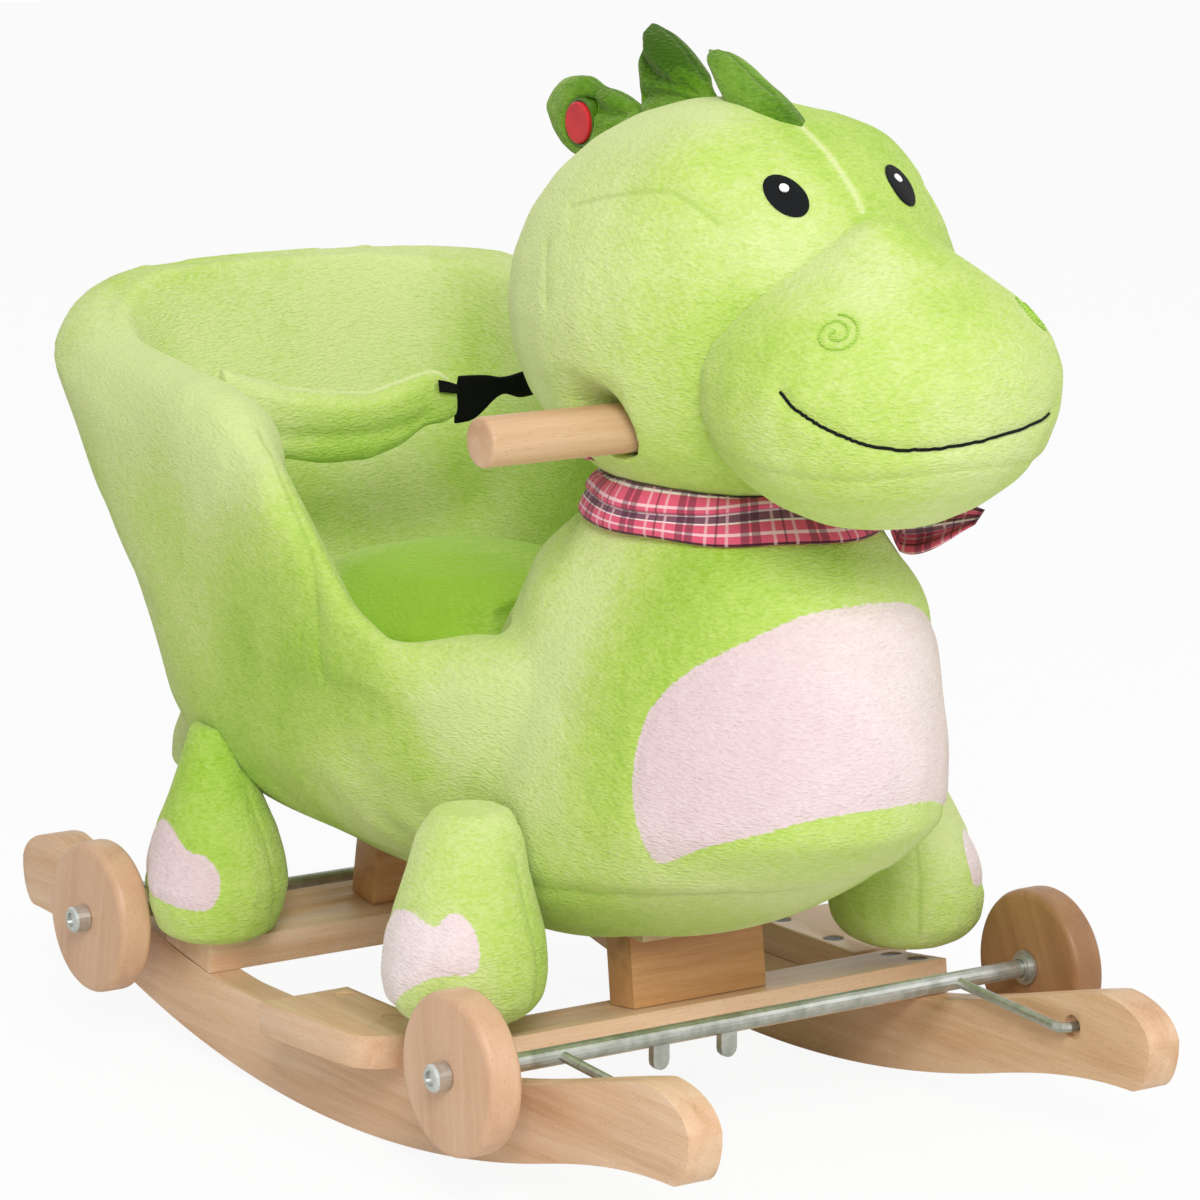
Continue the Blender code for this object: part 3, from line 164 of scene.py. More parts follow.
def read_points(piece, what):
    found = np.empty(len(piece.data.vertices) * 3)
    piece.data.vertices.foreach_get(what, found)
    return found.reshape(-1, 3)


def points_of(piece):
    return read_points(piece, "co")


def normals_of(piece):
    return read_points(piece, "normal")


def move_points(piece, places):
    piece.data.vertices.foreach_set("co", np.asarray(places, dtype=float).ravel())
    piece.data.update()


def note(piece, name, values):
    """Keeps one number for each point of the mesh, for its material to read."""
    kept = piece.data.attributes.get(name) or piece.data.attributes.new(name, "FLOAT", "POINT")
    kept.data.foreach_set("value", np.asarray(values, dtype=np.float32))


def thread_along(name, path, radius, look):
    """A thread laid along a path of points, as a mesh."""
    curve = bpy.data.curves.new(name, "CURVE")
    curve.dimensions = "3D"
    spline = curve.splines.new("POLY")
    spline.points.add(len(path) - 1)
    for point, spot in zip(spline.points, path):
        point.co = (*spot, 1.0)
    curve.bevel_depth = radius
    curve.bevel_resolution = 1
    curve.use_fill_caps = True
    pick_up(place(name, curve))
    bpy.ops.object.convert(target="MESH")
    thread = begin(name, look)
    face_outwards(thread)
    shade(thread, 40)
    return thread


# Materials


def linear(text):
    """An sRGB hex colour as linear RGBA."""
    values = [int(text[i : i + 2], 16) / 255 for i in (0, 2, 4)]
    return (*[v / 12.92 if v <= 0.04045 else ((v + 0.055) / 1.055) ** 2.4 for v in values], 1.0)


def add(tree, kind, inputs=None, out=0, stops=(), **settings):
    """Adds a node with settings, colour stops and inputs, set or linked. Gives its first output, or out."""
    made = tree.nodes.new("ShaderNode" + kind)
    for key, value in settings.items():
        setattr(made, key, value)
    for key, value in (inputs or {}).items():
        if isinstance(value, bpy.types.NodeSocket):
            tree.links.new(value, made.inputs[key])
        else:
            made.inputs[key].default_value = value
    while stops and len(made.color_ramp.elements) < len(stops):
        made.color_ramp.elements.new(0.5)
    for number, (part, text) in enumerate(stops):
        made.color_ramp.elements[number].position = part
        made.color_ramp.elements[number].color = linear(text)
    return made.outputs[out]


def new_material(name, text, roughness, metallic=0.0, **shine):
    """A material with its shader's own sockets set, its nodes, and the place that its patterns read."""
    made = bpy.data.materials.new(name)
    made.use_nodes = True
    made.diffuse_color = linear(text)
    shader = made.node_tree.nodes["Principled BSDF"]
    own = {"Base_Color": linear(text), "Roughness": roughness, "Metallic": metallic, **shine}
    for key, value in own.items():
        shader.inputs[key.replace("_", " ")].default_value = value
    return made, made.node_tree, add(made.node_tree, "TexCoord", out="Object")


def show(made, **varying):
    """Links what varies over the surface to the material's shader and gives the finished material."""
    shader = made.node_tree.nodes["Principled BSDF"]
    for key, value in varying.items():
        made.node_tree.links.new(value, shader.inputs[key.replace("_", " ")])
    return made


def short_pile_plush(name, tones, patch=None, crease="8DB441"):
    """Polyester plush, knitted with a pile of about 3 mm and brushed by hands.

    Its tone drifts at random over brushed areas, and light and shade are painted on it: paler where lit,
    deeper and more saturated in shade.
    The pile's tips catch light at a slant, which the sheen gives.
    """
    slant = {"Sheen_Weight": 0.38, "Sheen_Roughness": 0.45, "Sheen_Tint": linear("EEF6C4")}
    made, tree, spot = new_material(name, tones[1], 0.92, Specular_IOR_Level=0.08, **slant)
    # Brushed areas, 70 to 110 mm across, drawn out downwards
    lay = {"Vector": spot, "Scale": (10.5, 8.5, 6.5), "Location": (0.37, 0.11, 0.52)}
    areas = {"Scale": 1.0, "Detail": 2.0, "Roughness": 0.45, "Distortion": 0.7}
    brushed = add(tree, "TexNoise", {"Vector": add(tree, "Mapping", lay), **areas})
    brushed = add(tree, "MapRange", {"Value": brushed, "To Min": 0.15, "To Max": 0.82})
    # Painted light and shade, and paler lines along some stitching, added to the brushed tone
    nap_and_painted_light = add(tree, "Attribute", out="Fac", attribute_name="nap_and_painted_light")
    brushed = add(tree, "Math", {0: brushed, 1: nap_and_painted_light}, operation="ADD")
    # Strokes of pile, 1 mm wide and 3 mm long
    lay = {"Vector": spot, "Rotation": (0.5, 0.35, 0.2), "Scale": (330.0, 330.0, 900.0)}
    strokes = {"Scale": 1.0, "Detail": 2.5, "Roughness": 0.6}
    pile = add(tree, "TexNoise", {"Vector": add(tree, "Mapping", lay), **strokes})
    # Tufts of 7 mm, softer
    tufts = add(tree, "TexNoise", {"Vector": spot, "Scale": 140.0, "Detail": 3.0, "Roughness": 0.55})
    tone = add(tree, "Math", {0: pile, 1: 0.34, 2: brushed}, operation="MULTIPLY_ADD")
    tone = add(tree, "Math", {0: tufts, 1: 0.16, 2: tone}, operation="MULTIPLY_ADD")
    depths = (0.52, 0.68, 0.86)
    colour = add(tree, "ValToRGB", {"Fac": tone}, stops=tuple(zip(depths, tones)))
    if patch is not None:
        # "patch" is how far inside a patch a point is, in mm. The pile makes its edge ragged
        edge = add(tree, "Attribute", out="Fac", attribute_name="patch")
        ragged = add(tree, "Math", {0: pile, 1: 0.5}, operation="SUBTRACT")
        edge = add(tree, "Math", {0: ragged, 1: 2.6, 2: edge}, operation="MULTIPLY_ADD")
        inside = add(tree, "MapRange", {"Value": edge, "From Min": -0.5, "From Max": 0.5})
        patched = add(tree, "ValToRGB", {"Fac": tone}, stops=tuple(zip(depths, patch)))
        colour = add(tree, "Mix", {"Factor": inside, 6: colour, 7: patched}, 2, data_type="RGBA")
    # The stitched lines, where the pile parts and the shade shows. "seam" is how far off one is, in mm
    near = add(tree, "Attribute", out="Fac", attribute_name="seam")
    parting = {"Value": near, "From Min": 0.3, "From Max": 1.8, "To Min": 0.35, "To Max": 0.0}
    line = add(tree, "MapRange", parting)
    colour = add(tree, "Mix", {"Factor": line, 6: colour, 7: linear(crease)}, 2, data_type="RGBA")
    relief = add(tree, "Bump", {"Height": pile, "Strength": 0.85, "Distance": 0.0015})
    soft = {"Height": tufts, "Strength": 0.35, "Distance": 0.0012, "Normal": relief}
    return show(made, Base_Color=colour, Normal=add(tree, "Bump", soft))


def lacquered_beech(name, along, tones, centre=(0.0, 0.0, 0.0), turn=(0.0, 0.0, 0.0)):
    """Steamed beech, planed, sanded and sealed with a thin satin lacquer.

    Soft growth rings run along the piece, crossed by the short brown flecks that mark beech.
    """
    satin = {"Coat_Weight": 0.12, "Coat_Roughness": 0.35, "Specular_IOR_Level": 0.4}
    made, tree, spot = new_material(name, tones[1], 0.46, **satin)
    spot = add(tree, "Mapping", {"Vector": spot, "Location": [-c for c in centre]})
    spot = add(tree, "Mapping", {"Vector": spot, "Rotation": turn})
    laid = []
    # Rings 6 mm apart, fibres of half a millimetre, drawn coarser than real, and flecks of 0.5 by 3 mm
    for across, lengthwise in ((1.0, 0.06), (1500.0, 45.0), (620.0, 190.0)):
        scale = [across, across, across]
        scale[along] = lengthwise
        laid.append(add(tree, "Mapping", {"Vector": spot, "Scale": scale}))
    growth = {"Scale": 95.0, "Detail": 4.0, "Roughness": 0.55, "Distortion": 0.4}
    rings = add(tree, "TexNoise", {"Vector": laid[0], **growth})
    wide = add(tree, "TexNoise", {"Vector": laid[0], "Scale": 22.0, "Detail": 2.0, "Roughness": 0.5})
    fibres = add(tree, "TexNoise", {"Vector": laid[1], "Scale": 1.0, "Detail": 2.0})
    flecks = add(tree, "TexVoronoi", {"Vector": laid[2], "Scale": 1.0, "Randomness": 1.0})
    marks = {"Value": flecks, "From Min": 0.10, "From Max": 0.24, "To Min": 0.28, "To Max": 0.0}
    fleck_mask = add(tree, "MapRange", marks)
    tone = add(tree, "Math", {0: rings, 1: 0.55}, operation="MULTIPLY")
    for pattern, weight in ((wide, 0.35), (fibres, 0.22)):
        tone = add(tree, "Math", {0: pattern, 1: weight, 2: tone}, operation="MULTIPLY_ADD")
    colour = add(tree, "ValToRGB", {"Fac": tone}, stops=tuple(zip((0.38, 0.55, 0.72), tones)))
    flecked = {"Factor": fleck_mask, 6: colour, 7: linear("9A6A44")}
    relief = {"Height": fibres, "Strength": 0.10, "Distance": 0.0003}
    return show(
        made,
        Base_Color=add(tree, "Mix", flecked, 2, data_type="RGBA"),
        Roughness=add(tree, "MapRange", {"Value": fibres, "To Min": 0.40, "To Max": 0.54}),
        Normal=add(tree, "Bump", relief),
    )


def zinc_plated_steel(name, text="BBBDB7", dark="9A9D95", roughness=0.38):
    """Drawn steel rod with dull zinc plating, faintly clouded and streaked along its length."""
    made, tree, spot = new_material(name, text, roughness, 0.85)
    clouds = add(tree, "TexNoise", {"Vector": spot, "Scale": 120.0, "Detail": 4.0, "Roughness": 0.6})
    drawn = add(tree, "Mapping", {"Vector": spot, "Scale": (60.0, 1600.0, 1600.0)})
    streaks = add(tree, "TexNoise", {"Vector": drawn, "Scale": 1.0, "Detail": 2.0})
    dulled = {"Value": clouds, "To Min": roughness - 0.06, "To Max": roughness + 0.14}
    relief = {"Height": streaks, "Strength": 0.12, "Distance": 0.0002}
    return show(
        made,
        Base_Color=add(tree, "ValToRGB", {"Fac": clouds}, stops=((0.32, dark), (0.62, text))),
        Roughness=add(tree, "MapRange", dulled),
        Normal=add(tree, "Bump", relief),
    )


def dark_screw_steel():
    """Phosphated steel screw heads, almost black, a little worn on top."""
    made, tree, spot = new_material("phosphated_steel", "45443D", 0.5, 0.6)
    wear = add(tree, "TexNoise", {"Vector": spot, "Scale": 700.0, "Detail": 3.0})
    stops = ((0.35, "34332E"), (0.7, "5A584F"))
    return show(made, Base_Color=add(tree, "ValToRGB", {"Fac": wear}, stops=stops))


def embroidery(name, text, thread="", along="Z"):
    """Glossy polyester thread in satin stitch, its rows 0.6 mm apart, coarser than real so that they show."""
    made, tree, spot = new_material(name, text, 0.6, Specular_IOR_Level=0.12)
    rows = {"Vector": spot, "Scale": 260.0, "Distortion": 0.6, "Detail": 1.0}
    rows = add(tree, "TexWave", rows, "Fac", wave_type="BANDS", bands_direction=along)
    if thread:
        show(made, Base_Color=add(tree, "ValToRGB", {"Fac": rows}, stops=((0.2, text), (0.9, thread))))
    return show(made, Normal=add(tree, "Bump", {"Height": rows, "Strength": 0.35, "Distance": 0.0003}))


def checked_cotton():
    """Printed plain-weave cotton: a rose ground with a tartan.

    It follows the cloth's own UV map, which is in metres: X runs along the scarf and Y across it.
    """
    rose, plum, dark_plum = "DE5C78", "6E2C4B", "3A1D2C"
    # The tartan repeats after so many mm
    repeat = 28.0
    # The strips' middle and half width in mm, and colour. The white one has a dark one on each side
    strips = (
        (21.0, 4.8, "F4E9EA"),
        (18.7, 1.75, plum),
        (23.3, 1.75, plum),
        (7.0, 0.50, "17131B"),
        (2.6, 0.65, "F4C9D2"),
        (11.4, 0.65, "F4C9D2"),
    )
    # The strips fade out over this many mm
    blur = 0.15
    matt = {"Sheen_Weight": 0.15, "Specular_IOR_Level": 0.15}
    made, tree, _ = new_material("checked_cotton", rose, 0.85, **matt)
    cloth = add(tree, "UVMap", uv_map="cloth")
    colour = linear(rose)
    for axis, cover in (("Y", 0.92), ("X", 0.55)):
        part = add(tree, "SeparateXYZ", {"Vector": cloth}, axis)
        part = add(tree, "Math", {0: part, 1: 1 / (repeat * MM)}, operation="MULTIPLY")
        part = add(tree, "Math", {0: part}, operation="FRACT")
        for middle, half, text in strips:
            # Along the scarf the white strip is left out, so that its dark pair shows alone
            if axis == "X" and half > 4:
                continue
            away = add(tree, "Math", {0: part, 1: middle / repeat}, operation="SUBTRACT")
            away = add(tree, "Math", {0: away}, operation="ABSOLUTE")
            edge = {"From Min": (half - blur) / repeat, "From Max": (half + blur) / repeat}
            strip = add(tree, "MapRange", {"Value": away, **edge, "To Min": cover, "To Max": 0.0})
            shown = linear(dark_plum if axis == "X" and text == plum else text)
            colour = add(tree, "Mix", {"Factor": strip, 6: colour, 7: shown}, 2, data_type="RGBA")
    # Threads, 0.5 mm apart
    threads = {}
    for number, way in enumerate("XY"):
        wave = {"Vector": cloth, "Scale": 320.0, "Distortion": 0.3}
        threads[number] = add(tree, "TexWave", wave, "Fac", wave_type="BANDS", bands_direction=way)
    woven = add(tree, "Math", threads, operation="MAXIMUM")
    relief = {"Height": woven, "Strength": 0.25, "Distance": 0.0002}
    return show(made, Base_Color=colour, Normal=add(tree, "Bump", relief))


def moulded_plastic(name, text, other):
    """Moulded ABS with a fine satin grain of 0.4 mm and a little colour drift."""
    made, tree, spot = new_material(name, text, 0.34, Specular_IOR_Level=0.5)
    drift = add(tree, "TexNoise", {"Vector": spot, "Scale": 90.0, "Detail": 2.0})
    grain = add(tree, "TexNoise", {"Vector": spot, "Scale": 2400.0, "Detail": 1.0})
    relief = {"Height": grain, "Strength": 0.08, "Distance": 0.0001}
    return show(
        made,
        Base_Color=add(tree, "ValToRGB", {"Fac": drift}, stops=((0.35, other), (0.65, text))),
        Roughness=add(tree, "MapRange", {"Value": grain, "To Min": 0.30, "To Max": 0.42}),
        Normal=add(tree, "Bump", relief),
    )


def nylon_webbing():
    """Woven nylon webbing, black, ribbed across every 1.6 mm."""
    made, tree, spot = new_material("nylon_webbing", "020302", 0.8, Specular_IOR_Level=0.12)
    ribs = {"Vector": spot, "Scale": 200.0, "Distortion": 0.5}
    ribs = add(tree, "TexWave", ribs, "Fac", wave_type="BANDS", bands_direction="X")
    colour = add(tree, "ValToRGB", {"Fac": ribs}, stops=((0.1, "010201"), (0.9, "060806")))
    relief = {"Height": ribs, "Strength": 0.4, "Distance": 0.0005}
    return show(made, Base_Color=colour, Normal=add(tree, "Bump", relief))


GREENS = ("9DC63F", "BCD76A", "D5E39A")
PINKS = ("E1C6CA", "E9D3D6", "F2E3E3")
DEEP_GREENS = ("355C08", "5C8A1B", "7FA83C")

plush = short_pile_plush("green_plush", GREENS)
patched_plush = short_pile_plush("green_and_pink_plush", GREENS, PINKS)
spike_plush = short_pile_plush("deep_green_plush", DEEP_GREENS, crease="24480C")
steel = zinc_plated_steel("zinc_plated_steel")
cap_steel = zinc_plated_steel("polished_zinc_cap", "CFD1CE", "AEB1AD", 0.30)
screw_steel = dark_screw_steel()
black_thread = embroidery("black_satin_stitch", "050608", "0C0E10", "X")
white_thread = embroidery("white_satin_stitch", "F4F4F2")
green_thread = embroidery("green_satin_stitch", "B4D465", "93BC42")
cotton = checked_cotton()
red_plastic = moulded_plastic("red_abs", "D3242C", "C21D26")
green_plastic = moulded_plastic("green_abs", "4A7412", "42690F")
plywood = lacquered_beech("birch_plywood", 1, ("C4A57C", "D6BA92", "E2CBA6"))
# Where the small boards' pattern of grain is taken from
BOARD_GRAIN = (0.03, 0.2, 0.1)
plug_wood = lacquered_beech("beech_plugs", 1, ("C0936A", "D8AE86", "E3C09B"), BOARD_GRAIN)
webbing = nylon_webbing()


# Stuffed pieces


def eased(value):
    """From 0 to 1, with a soft start and end."""
    value = np.clip(value, 0.0, 1.0)
    return value * value * (3 - 2 * value)


def stitched(name, node, look, voxel, easing):
    """A copy of a CAD solid as an even skin, its facets and sharp joins eased away."""
    piece = copy_of(node, name, look)
    piece.data.remesh_voxel_size = voxel
    piece.data.remesh_voxel_adaptivity = 0.0
    pick_up(piece)
    bpy.ops.object.voxel_remesh()
    finish_with(piece, "SMOOTH", factor=0.5, iterations=easing)
    return piece


def fill_out(piece, pressure, reach, firm=15.0):
    """Blows the skin up as its filling does, each point by no more than reach."""
    rest = points_of(piece)
    cloth = piece.modifiers.new("Filling", "CLOTH")
    stiff = {"tension_stiffness": firm, "compression_stiffness": firm, "shear_stiffness": firm / 3}
    blown = {"use_pressure": True, "uniform_pressure_force": pressure}
    for key, value in {"quality": 4, "mass": 0.3, "bending_stiffness": 0.4, **stiff, **blown}.items():
        setattr(cloth.settings, key, value)
    cloth.settings.effector_weights.gravity = 0.0
    cloth.collision_settings.use_collision = False
    cloth.point_cache.frame_start = 1
    cloth.point_cache.frame_end = 20
    for step in range(1, 21):
        bpy.context.scene.frame_set(step)
    pick_up(piece)
    bpy.ops.object.modifier_apply(modifier=cloth.name)
    bpy.context.scene.frame_set(1)
    moved = points_of(piece) - rest
    share = np.minimum(1.0, reach / np.maximum(np.linalg.norm(moved, axis=1), 1e-9))
    move_points(piece, rest + moved * share[:, None])


def make_finer(piece):
    finish_with(piece, "SUBSURF", levels=1, render_levels=1)


def stuffed(name, node, look, voxel, easing, pressure, reach, firm=15.0):
    """A CAD solid's skin, filled out and made finer."""
    piece = stitched(name, node, look, voxel, easing)
    fill_out(piece, pressure, reach, firm)
    make_finer(piece)
    return piece


def distance_to_span(spots, a, b):
    """Each spot's distance to the straight span from a to b."""
    along = b - a
    t = np.clip(((spots - a) @ along) / max(along @ along, 1e-12), 0.0, 1.0)
    return np.linalg.norm(spots - (a + t[:, None] * along), axis=1)


def distance_to_lines(points, lines):
    """Each point's distance to the nearest of these lines, and 1 m where there is none."""
    best = np.full(len(points), 1.0)
    for line in lines:
        line = np.asarray(line, dtype=float)
        for a, b in zip(line[:-1], line[1:]):
            best = np.minimum(best, distance_to_span(points, a, b))
    return best


def inside_outline(u, v, outline):
    """Signed distance to a closed outline in the plane, positive inside it."""
    spots = np.column_stack([u, v])
    best = np.full(len(u), 1e9)
    inside = np.zeros(len(u), dtype=bool)
    for a, b in zip(outline, np.roll(outline, -1, axis=0)):
        best = np.minimum(best, distance_to_span(spots, a, b))
        crossing = (a[1] > v) != (b[1] > v)
        with np.errstate(divide="ignore", invalid="ignore"):
            at = a[0] + (v - a[1]) * (b[0] - a[0]) / (b[1] - a[1])
        inside ^= crossing & (u < at)
    return np.where(inside, best, -best)


def curve_through(padded, steps):
    """A smooth curve from the second of these points to the last but one."""
    found = []
    for i in range(1, len(padded) - 2):
        p0, p1, p2, p3 = padded[i - 1 : i + 3]
        for k in range(steps):
            t = k / steps
            bend = (2 * p0 - 5 * p1 + 4 * p2 - p3) * t**2 + (3 * p1 - p0 - 3 * p2 + p3) * t**3
            found.append(0.5 * (2 * p1 + (p2 - p0) * t + bend))
    return found


def rounded(outline, steps=5):
    """A smooth closed curve through an outline's points."""
    outline = np.asarray(outline, dtype=float)
    return np.array(curve_through(np.vstack([outline[-1:], outline, outline[:2]]), steps))


def smooth_line(points, steps=8):
    """A smooth open curve through points."""
    points = np.asarray(points, dtype=float)
    padded = np.vstack([2 * points[0] - points[1], points, 2 * points[-1] - points[-2]])
    return np.array([*curve_through(padded, steps), points[-1]])


def skin_tree(piece):
    corners = [v.co.copy() for v in piece.data.vertices]
    return BVHTree.FromPolygons(corners, [tuple(p.vertices) for p in piece.data.polygons])


def on_skin(tree, points, offset=0.0):
    """The nearest places on a skin, or a little proud of it."""
    found = []
    for point in points:
        spot, normal, _, _ = tree.find_nearest(Vector(point))
        found.append(tuple(spot + normal * offset))
    return found


def route(tree, places, sign=1.0):
    """A smooth line on the skin through places in mm, on the side that sign says."""
    return on_skin(tree, smooth_line([(sign * x * MM, y * MM, z * MM) for x, y, z in places]))


def facing(tree, near):
    """The nearest place on the skin, and the ways across, up and out of it there."""
    spot, out, _, _ = tree.find_nearest(Vector(near))
    across = UP.cross(out).normalized()
    return spot, across, out.cross(across).normalized(), out


def move_out(piece, by):
    """Moves each point out of the skin (+) or into it (-) by its own amount."""
    move_points(piece, points_of(piece) + normals_of(piece) * by[:, None])


def press_in(piece, lines, depth, width):
    """Pulls the skin in along lines and gives each point's distance to the nearest one."""
    near = distance_to_lines(points_of(piece), lines)
    move_out(piece, -depth * np.exp(-((near / width) ** 2)))
    return near


def near_spot(points, middle, reach):
    """How near each point is to a place, from 1 there to 0, on both sides of the toy. Both are in mm."""
    x, y, z = middle
    away = (np.abs(points[:, 0]) - x * MM) ** 2 + (points[:, 1] - y * MM) ** 2 + (points[:, 2] - z * MM) ** 2
    return np.exp(-away / (reach * MM) ** 2)


# Painted light and shade on the pile, partly brushed pile: a place in mm, how far it reaches in mm, and paler
# (+) or deeper (-)
PAINTED_LIGHT_AND_NAP = (
    ((100, -150, 400), 70, 0.16), ((55, -120, 500), 60, 0.14), ((60, -190, 470), 40, -0.08),
    ((70, -300, 350), 60, 0.06), ((20, -340, 345), 50, -0.01), ((20, -335, 395), 45, -0.09),
    ((80, -260, 400), 40, -0.03), ((40, -290, 445), 40, 0.06), ((75, 175, 345), 55, 0.14),
    ((0, 205, 330), 60, 0.14), ((135, 60, 340), 60, 0.20), ((145, 120, 310), 70, 0.12),
    ((90, 120, 285), 50, -0.06), ((60, 30, 255), 60, -0.18), ((0, 80, 250), 70, -0.12),
    ((135, 150, 375), 50, 0.16), ((120, -10, 215), 60, -0.18), ((120, 60, 200), 60, -0.10),
    ((0, 0, 215), 50, -0.20), ((75, -190, 270), 50, -0.02), ((100, -120, 180), 60, 0.06),
    ((150, -140, 150), 40, 0.10), ((105, -160, 100), 40, -0.08), ((150, -110, 100), 40, 0.04),
    ((145, 95, 140), 45, -0.12), ((0, -115, 515), 25, -0.40), ((0, -60, 485), 20, -0.14),
    ((60, -180, 150), 70, -0.05),
)


def finish_pile(piece, near):
    """Notes for the plush how near each point is to a seam, and the painted light and shade on the pile's
    tone.
    """
    note(piece, "seam", np.minimum(near, 0.05) / MM)
    points = points_of(piece)
    note(piece, "nap_and_painted_light", sum(tone * near_spot(points, middle, reach) for middle, reach, tone in PAINTED_LIGHT_AND_NAP))
    shade(piece, 180)


def swell(piece, spots):
    """Fills the skin out: place in mm, how far it reaches, and how much, in mm."""
    points = points_of(piece)
    move_out(piece, sum(amount * MM * near_spot(points, middle, reach) for middle, reach, amount in spots))


def close_round(piece, centre, radius, spread):
    """Draws a cover's hole, which runs along X, in round what comes out of it: its (Y, Z) and radius."""
    points = points_of(piece)
    spoke = points[:, 1:] - np.array(centre)
    reach = np.linalg.norm(spoke, axis=1)
    tightest = np.percentile(reach[reach < radius * 1.7], 5)
    drawn = (tightest - radius) * np.exp(-(((reach - tightest) / spread) ** 2))
    points[:, 1:] -= spoke / reach[:, None] * drawn[:, None]
    move_points(piece, points)


def brush_pale(piece, line, amount=0.34, width=0.0017):
    """Stitching that lays the pile over, so that its pale tips show."""
    near = distance_to_lines(points_of(piece), [line])
    kept = np.empty(len(near), dtype=np.float32)
    piece.data.attributes["nap_and_painted_light"].data.foreach_get("value", kept)
    note(piece, "nap_and_painted_light", kept + amount * np.exp(-((near / width) ** 2)))


def sew_patch(piece, signed, depth, width):
    """Marks a patch by its signed distance in metres and draws its edge in."""
    move_out(piece, -depth * np.exp(-((signed / width) ** 2)))
    note(piece, "patch", np.clip(signed, -0.03, 0.03) / MM)


# Body: chest, neck and tub, one sewn cover

body = stuffed("body", "body_plush", patched_plush, voxel=0.005, easing=10, pressure=2.0, reach=0.0025)
swell(body, (((50, -230, 270), 30, 4.0), ((78, -112, 272), 32, 7.0), ((55, -90, 300), 32, 5.0)))
points = points_of(body)
# The tub's rear rim has come up at the toy's left and sunk a little at its right
RIM_RISES, RIM_SINKS = 0.0212, 0.003
rear_rim = eased((points[:, 2] - 0.30) / 0.05)
risen = RIM_RISES * np.clip((points[:, 0] - 0.07) / 0.06, 0.0, 1.0) ** 1.7
risen *= eased((points[:, 1] - 0.01) / 0.17)
sunk = RIM_SINKS * eased(-points[:, 0] / 0.12) * eased((points[:, 1] - 0.06) / 0.06)
points[:, 2] += rear_rim * (risen - sunk)
# The arms of the tub are thin, their crests close to the outer side
ARM_OUTER_X = 0.132
ARM_THINNED = 0.55
ARM_SINKS = 0.010
arm = eased((np.abs(points[:, 0]) - 0.06) / 0.03) * eased((points[:, 2] - 0.20) / 0.035)
arm *= eased((0.080 - points[:, 1]) / 0.045) * eased((points[:, 1] + 0.085) / 0.04)
squeezed = np.maximum(ARM_OUTER_X - np.abs(points[:, 0]), 0.0) * ARM_THINNED * arm
points[:, 0] += np.sign(points[:, 0]) * squeezed
points[:, 2] -= ARM_SINKS * arm
move_points(body, points)
# The belly patch's left half: degrees round the chest from its middle, and height in mm
CHEST_Y = -0.133
HALF_BELLY = (
    (0.0, 275.0), (13.4, 272.0), (25.6, 260.0), (37.4, 245.0), (46.8, 224.0), (50.0, 194.0),
    (48.0, 171.0), (43.5, 155.5), (33.9, 165.6), (22.7, 175.0), (12.3, 182.5), (0.0, 184.5),
)
# So much cloth goes to a degree round the chest
CHEST_DEGREE = 2 * MM
belly = [(a * CHEST_DEGREE, z * MM) for a, z in HALF_BELLY]
belly += [(-a, z) for a, z in belly[-2:0:-1]]
round_chest = np.degrees(np.arctan2(points[:, 0], -(points[:, 1] - CHEST_Y)))
signed = inside_outline(round_chest * CHEST_DEGREE, points[:, 2], rounded(belly))
signed = np.where(points[:, 1] < CHEST_Y + 0.03, signed, -0.03)
sew_patch(body, signed, depth=0.0009, width=0.0035)
# A seam on each side of the tub, down from its rim, and one that closes the underside
TUB_SEAM = (
    (123.8, 50.6, 329.5), (129.7, 19.7, 308.3), (132.6, 1.2, 281.8),
    (132.6, -5.7, 264.4), (128.7, -9.4, 238.7), (126.0, -10.0, 210.0),
)
UNDER_SEAM = ((10, -242, 133), (55, -223, 132), (86, -175, 133), (93, -110, 133))
tree = skin_tree(body)
seams = [route(tree, seam, sign) for _, sign in SIDES for seam in (TUB_SEAM, UNDER_SEAM)]
finish_pile(body, press_in(body, seams, depth=0.0011, width=0.0042))
stand_in(body, "body_plush")

# Head, with the seams of its panels and a hole drawn in round the handle

BROW = ((0, -206, 492), (0, -226.9, 482), (0, -246.7, 466), (0, -257.1, 452))
TEMPLE_SEAM = (
    (85, -150, 450), (75.3, -185.1, 456.3), (71.4, -197.3, 457.8), (65.8, -209.9, 457), (59.4, -231.5, 446.9)
)
CHEEK_SEAM = ((90.8, -142.8, 430.2), (95.4, -148.1, 420.7), (96.7, -151.7, 406))
head = stuffed("head", "head_plush", plush, voxel=0.0034, easing=8, pressure=2.0, reach=0.0022)
swell(head, (((52, -200, 470), 28, 6.0),))
close_round(head, HANDLE, HANDLE_RADIUS + HANDLE_GAP, spread=0.005)
tree = skin_tree(head)
seams = [route(tree, seam, sign) for _, sign in SIDES for seam in (TEMPLE_SEAM, CHEEK_SEAM)]
finish_pile(head, press_in(head, seams, depth=0.0010, width=0.0036))
brush_pale(head, route(tree, BROW))
stand_in(head, "head_plush")

# Snout, with its stitched mouth and nostrils

MOUTH = (
    (-77.3, -300.6, 383.0), (-74.7, -305.7, 377.0), (-69.9, -313.2, 371.6), (-65.4, -318.2, 367.9),
    (-59.6, -324.2, 364.4), (-49.8, -330.3, 360.6), (-36.7, -337.6, 358.5), (-20.0, -344.0, 358.8),
    (-2.4, -347.0, 360.4), (17.6, -345.7, 362.9), (39.2, -339.0, 365.5), (47.0, -335.0, 367.2),
)
CHIN_SEAM = (
    (-74, -240, 352), (-70, -290, 345), (-35, -333, 345), (0, -343, 347), (35, -333, 345), (70, -290, 345)
)
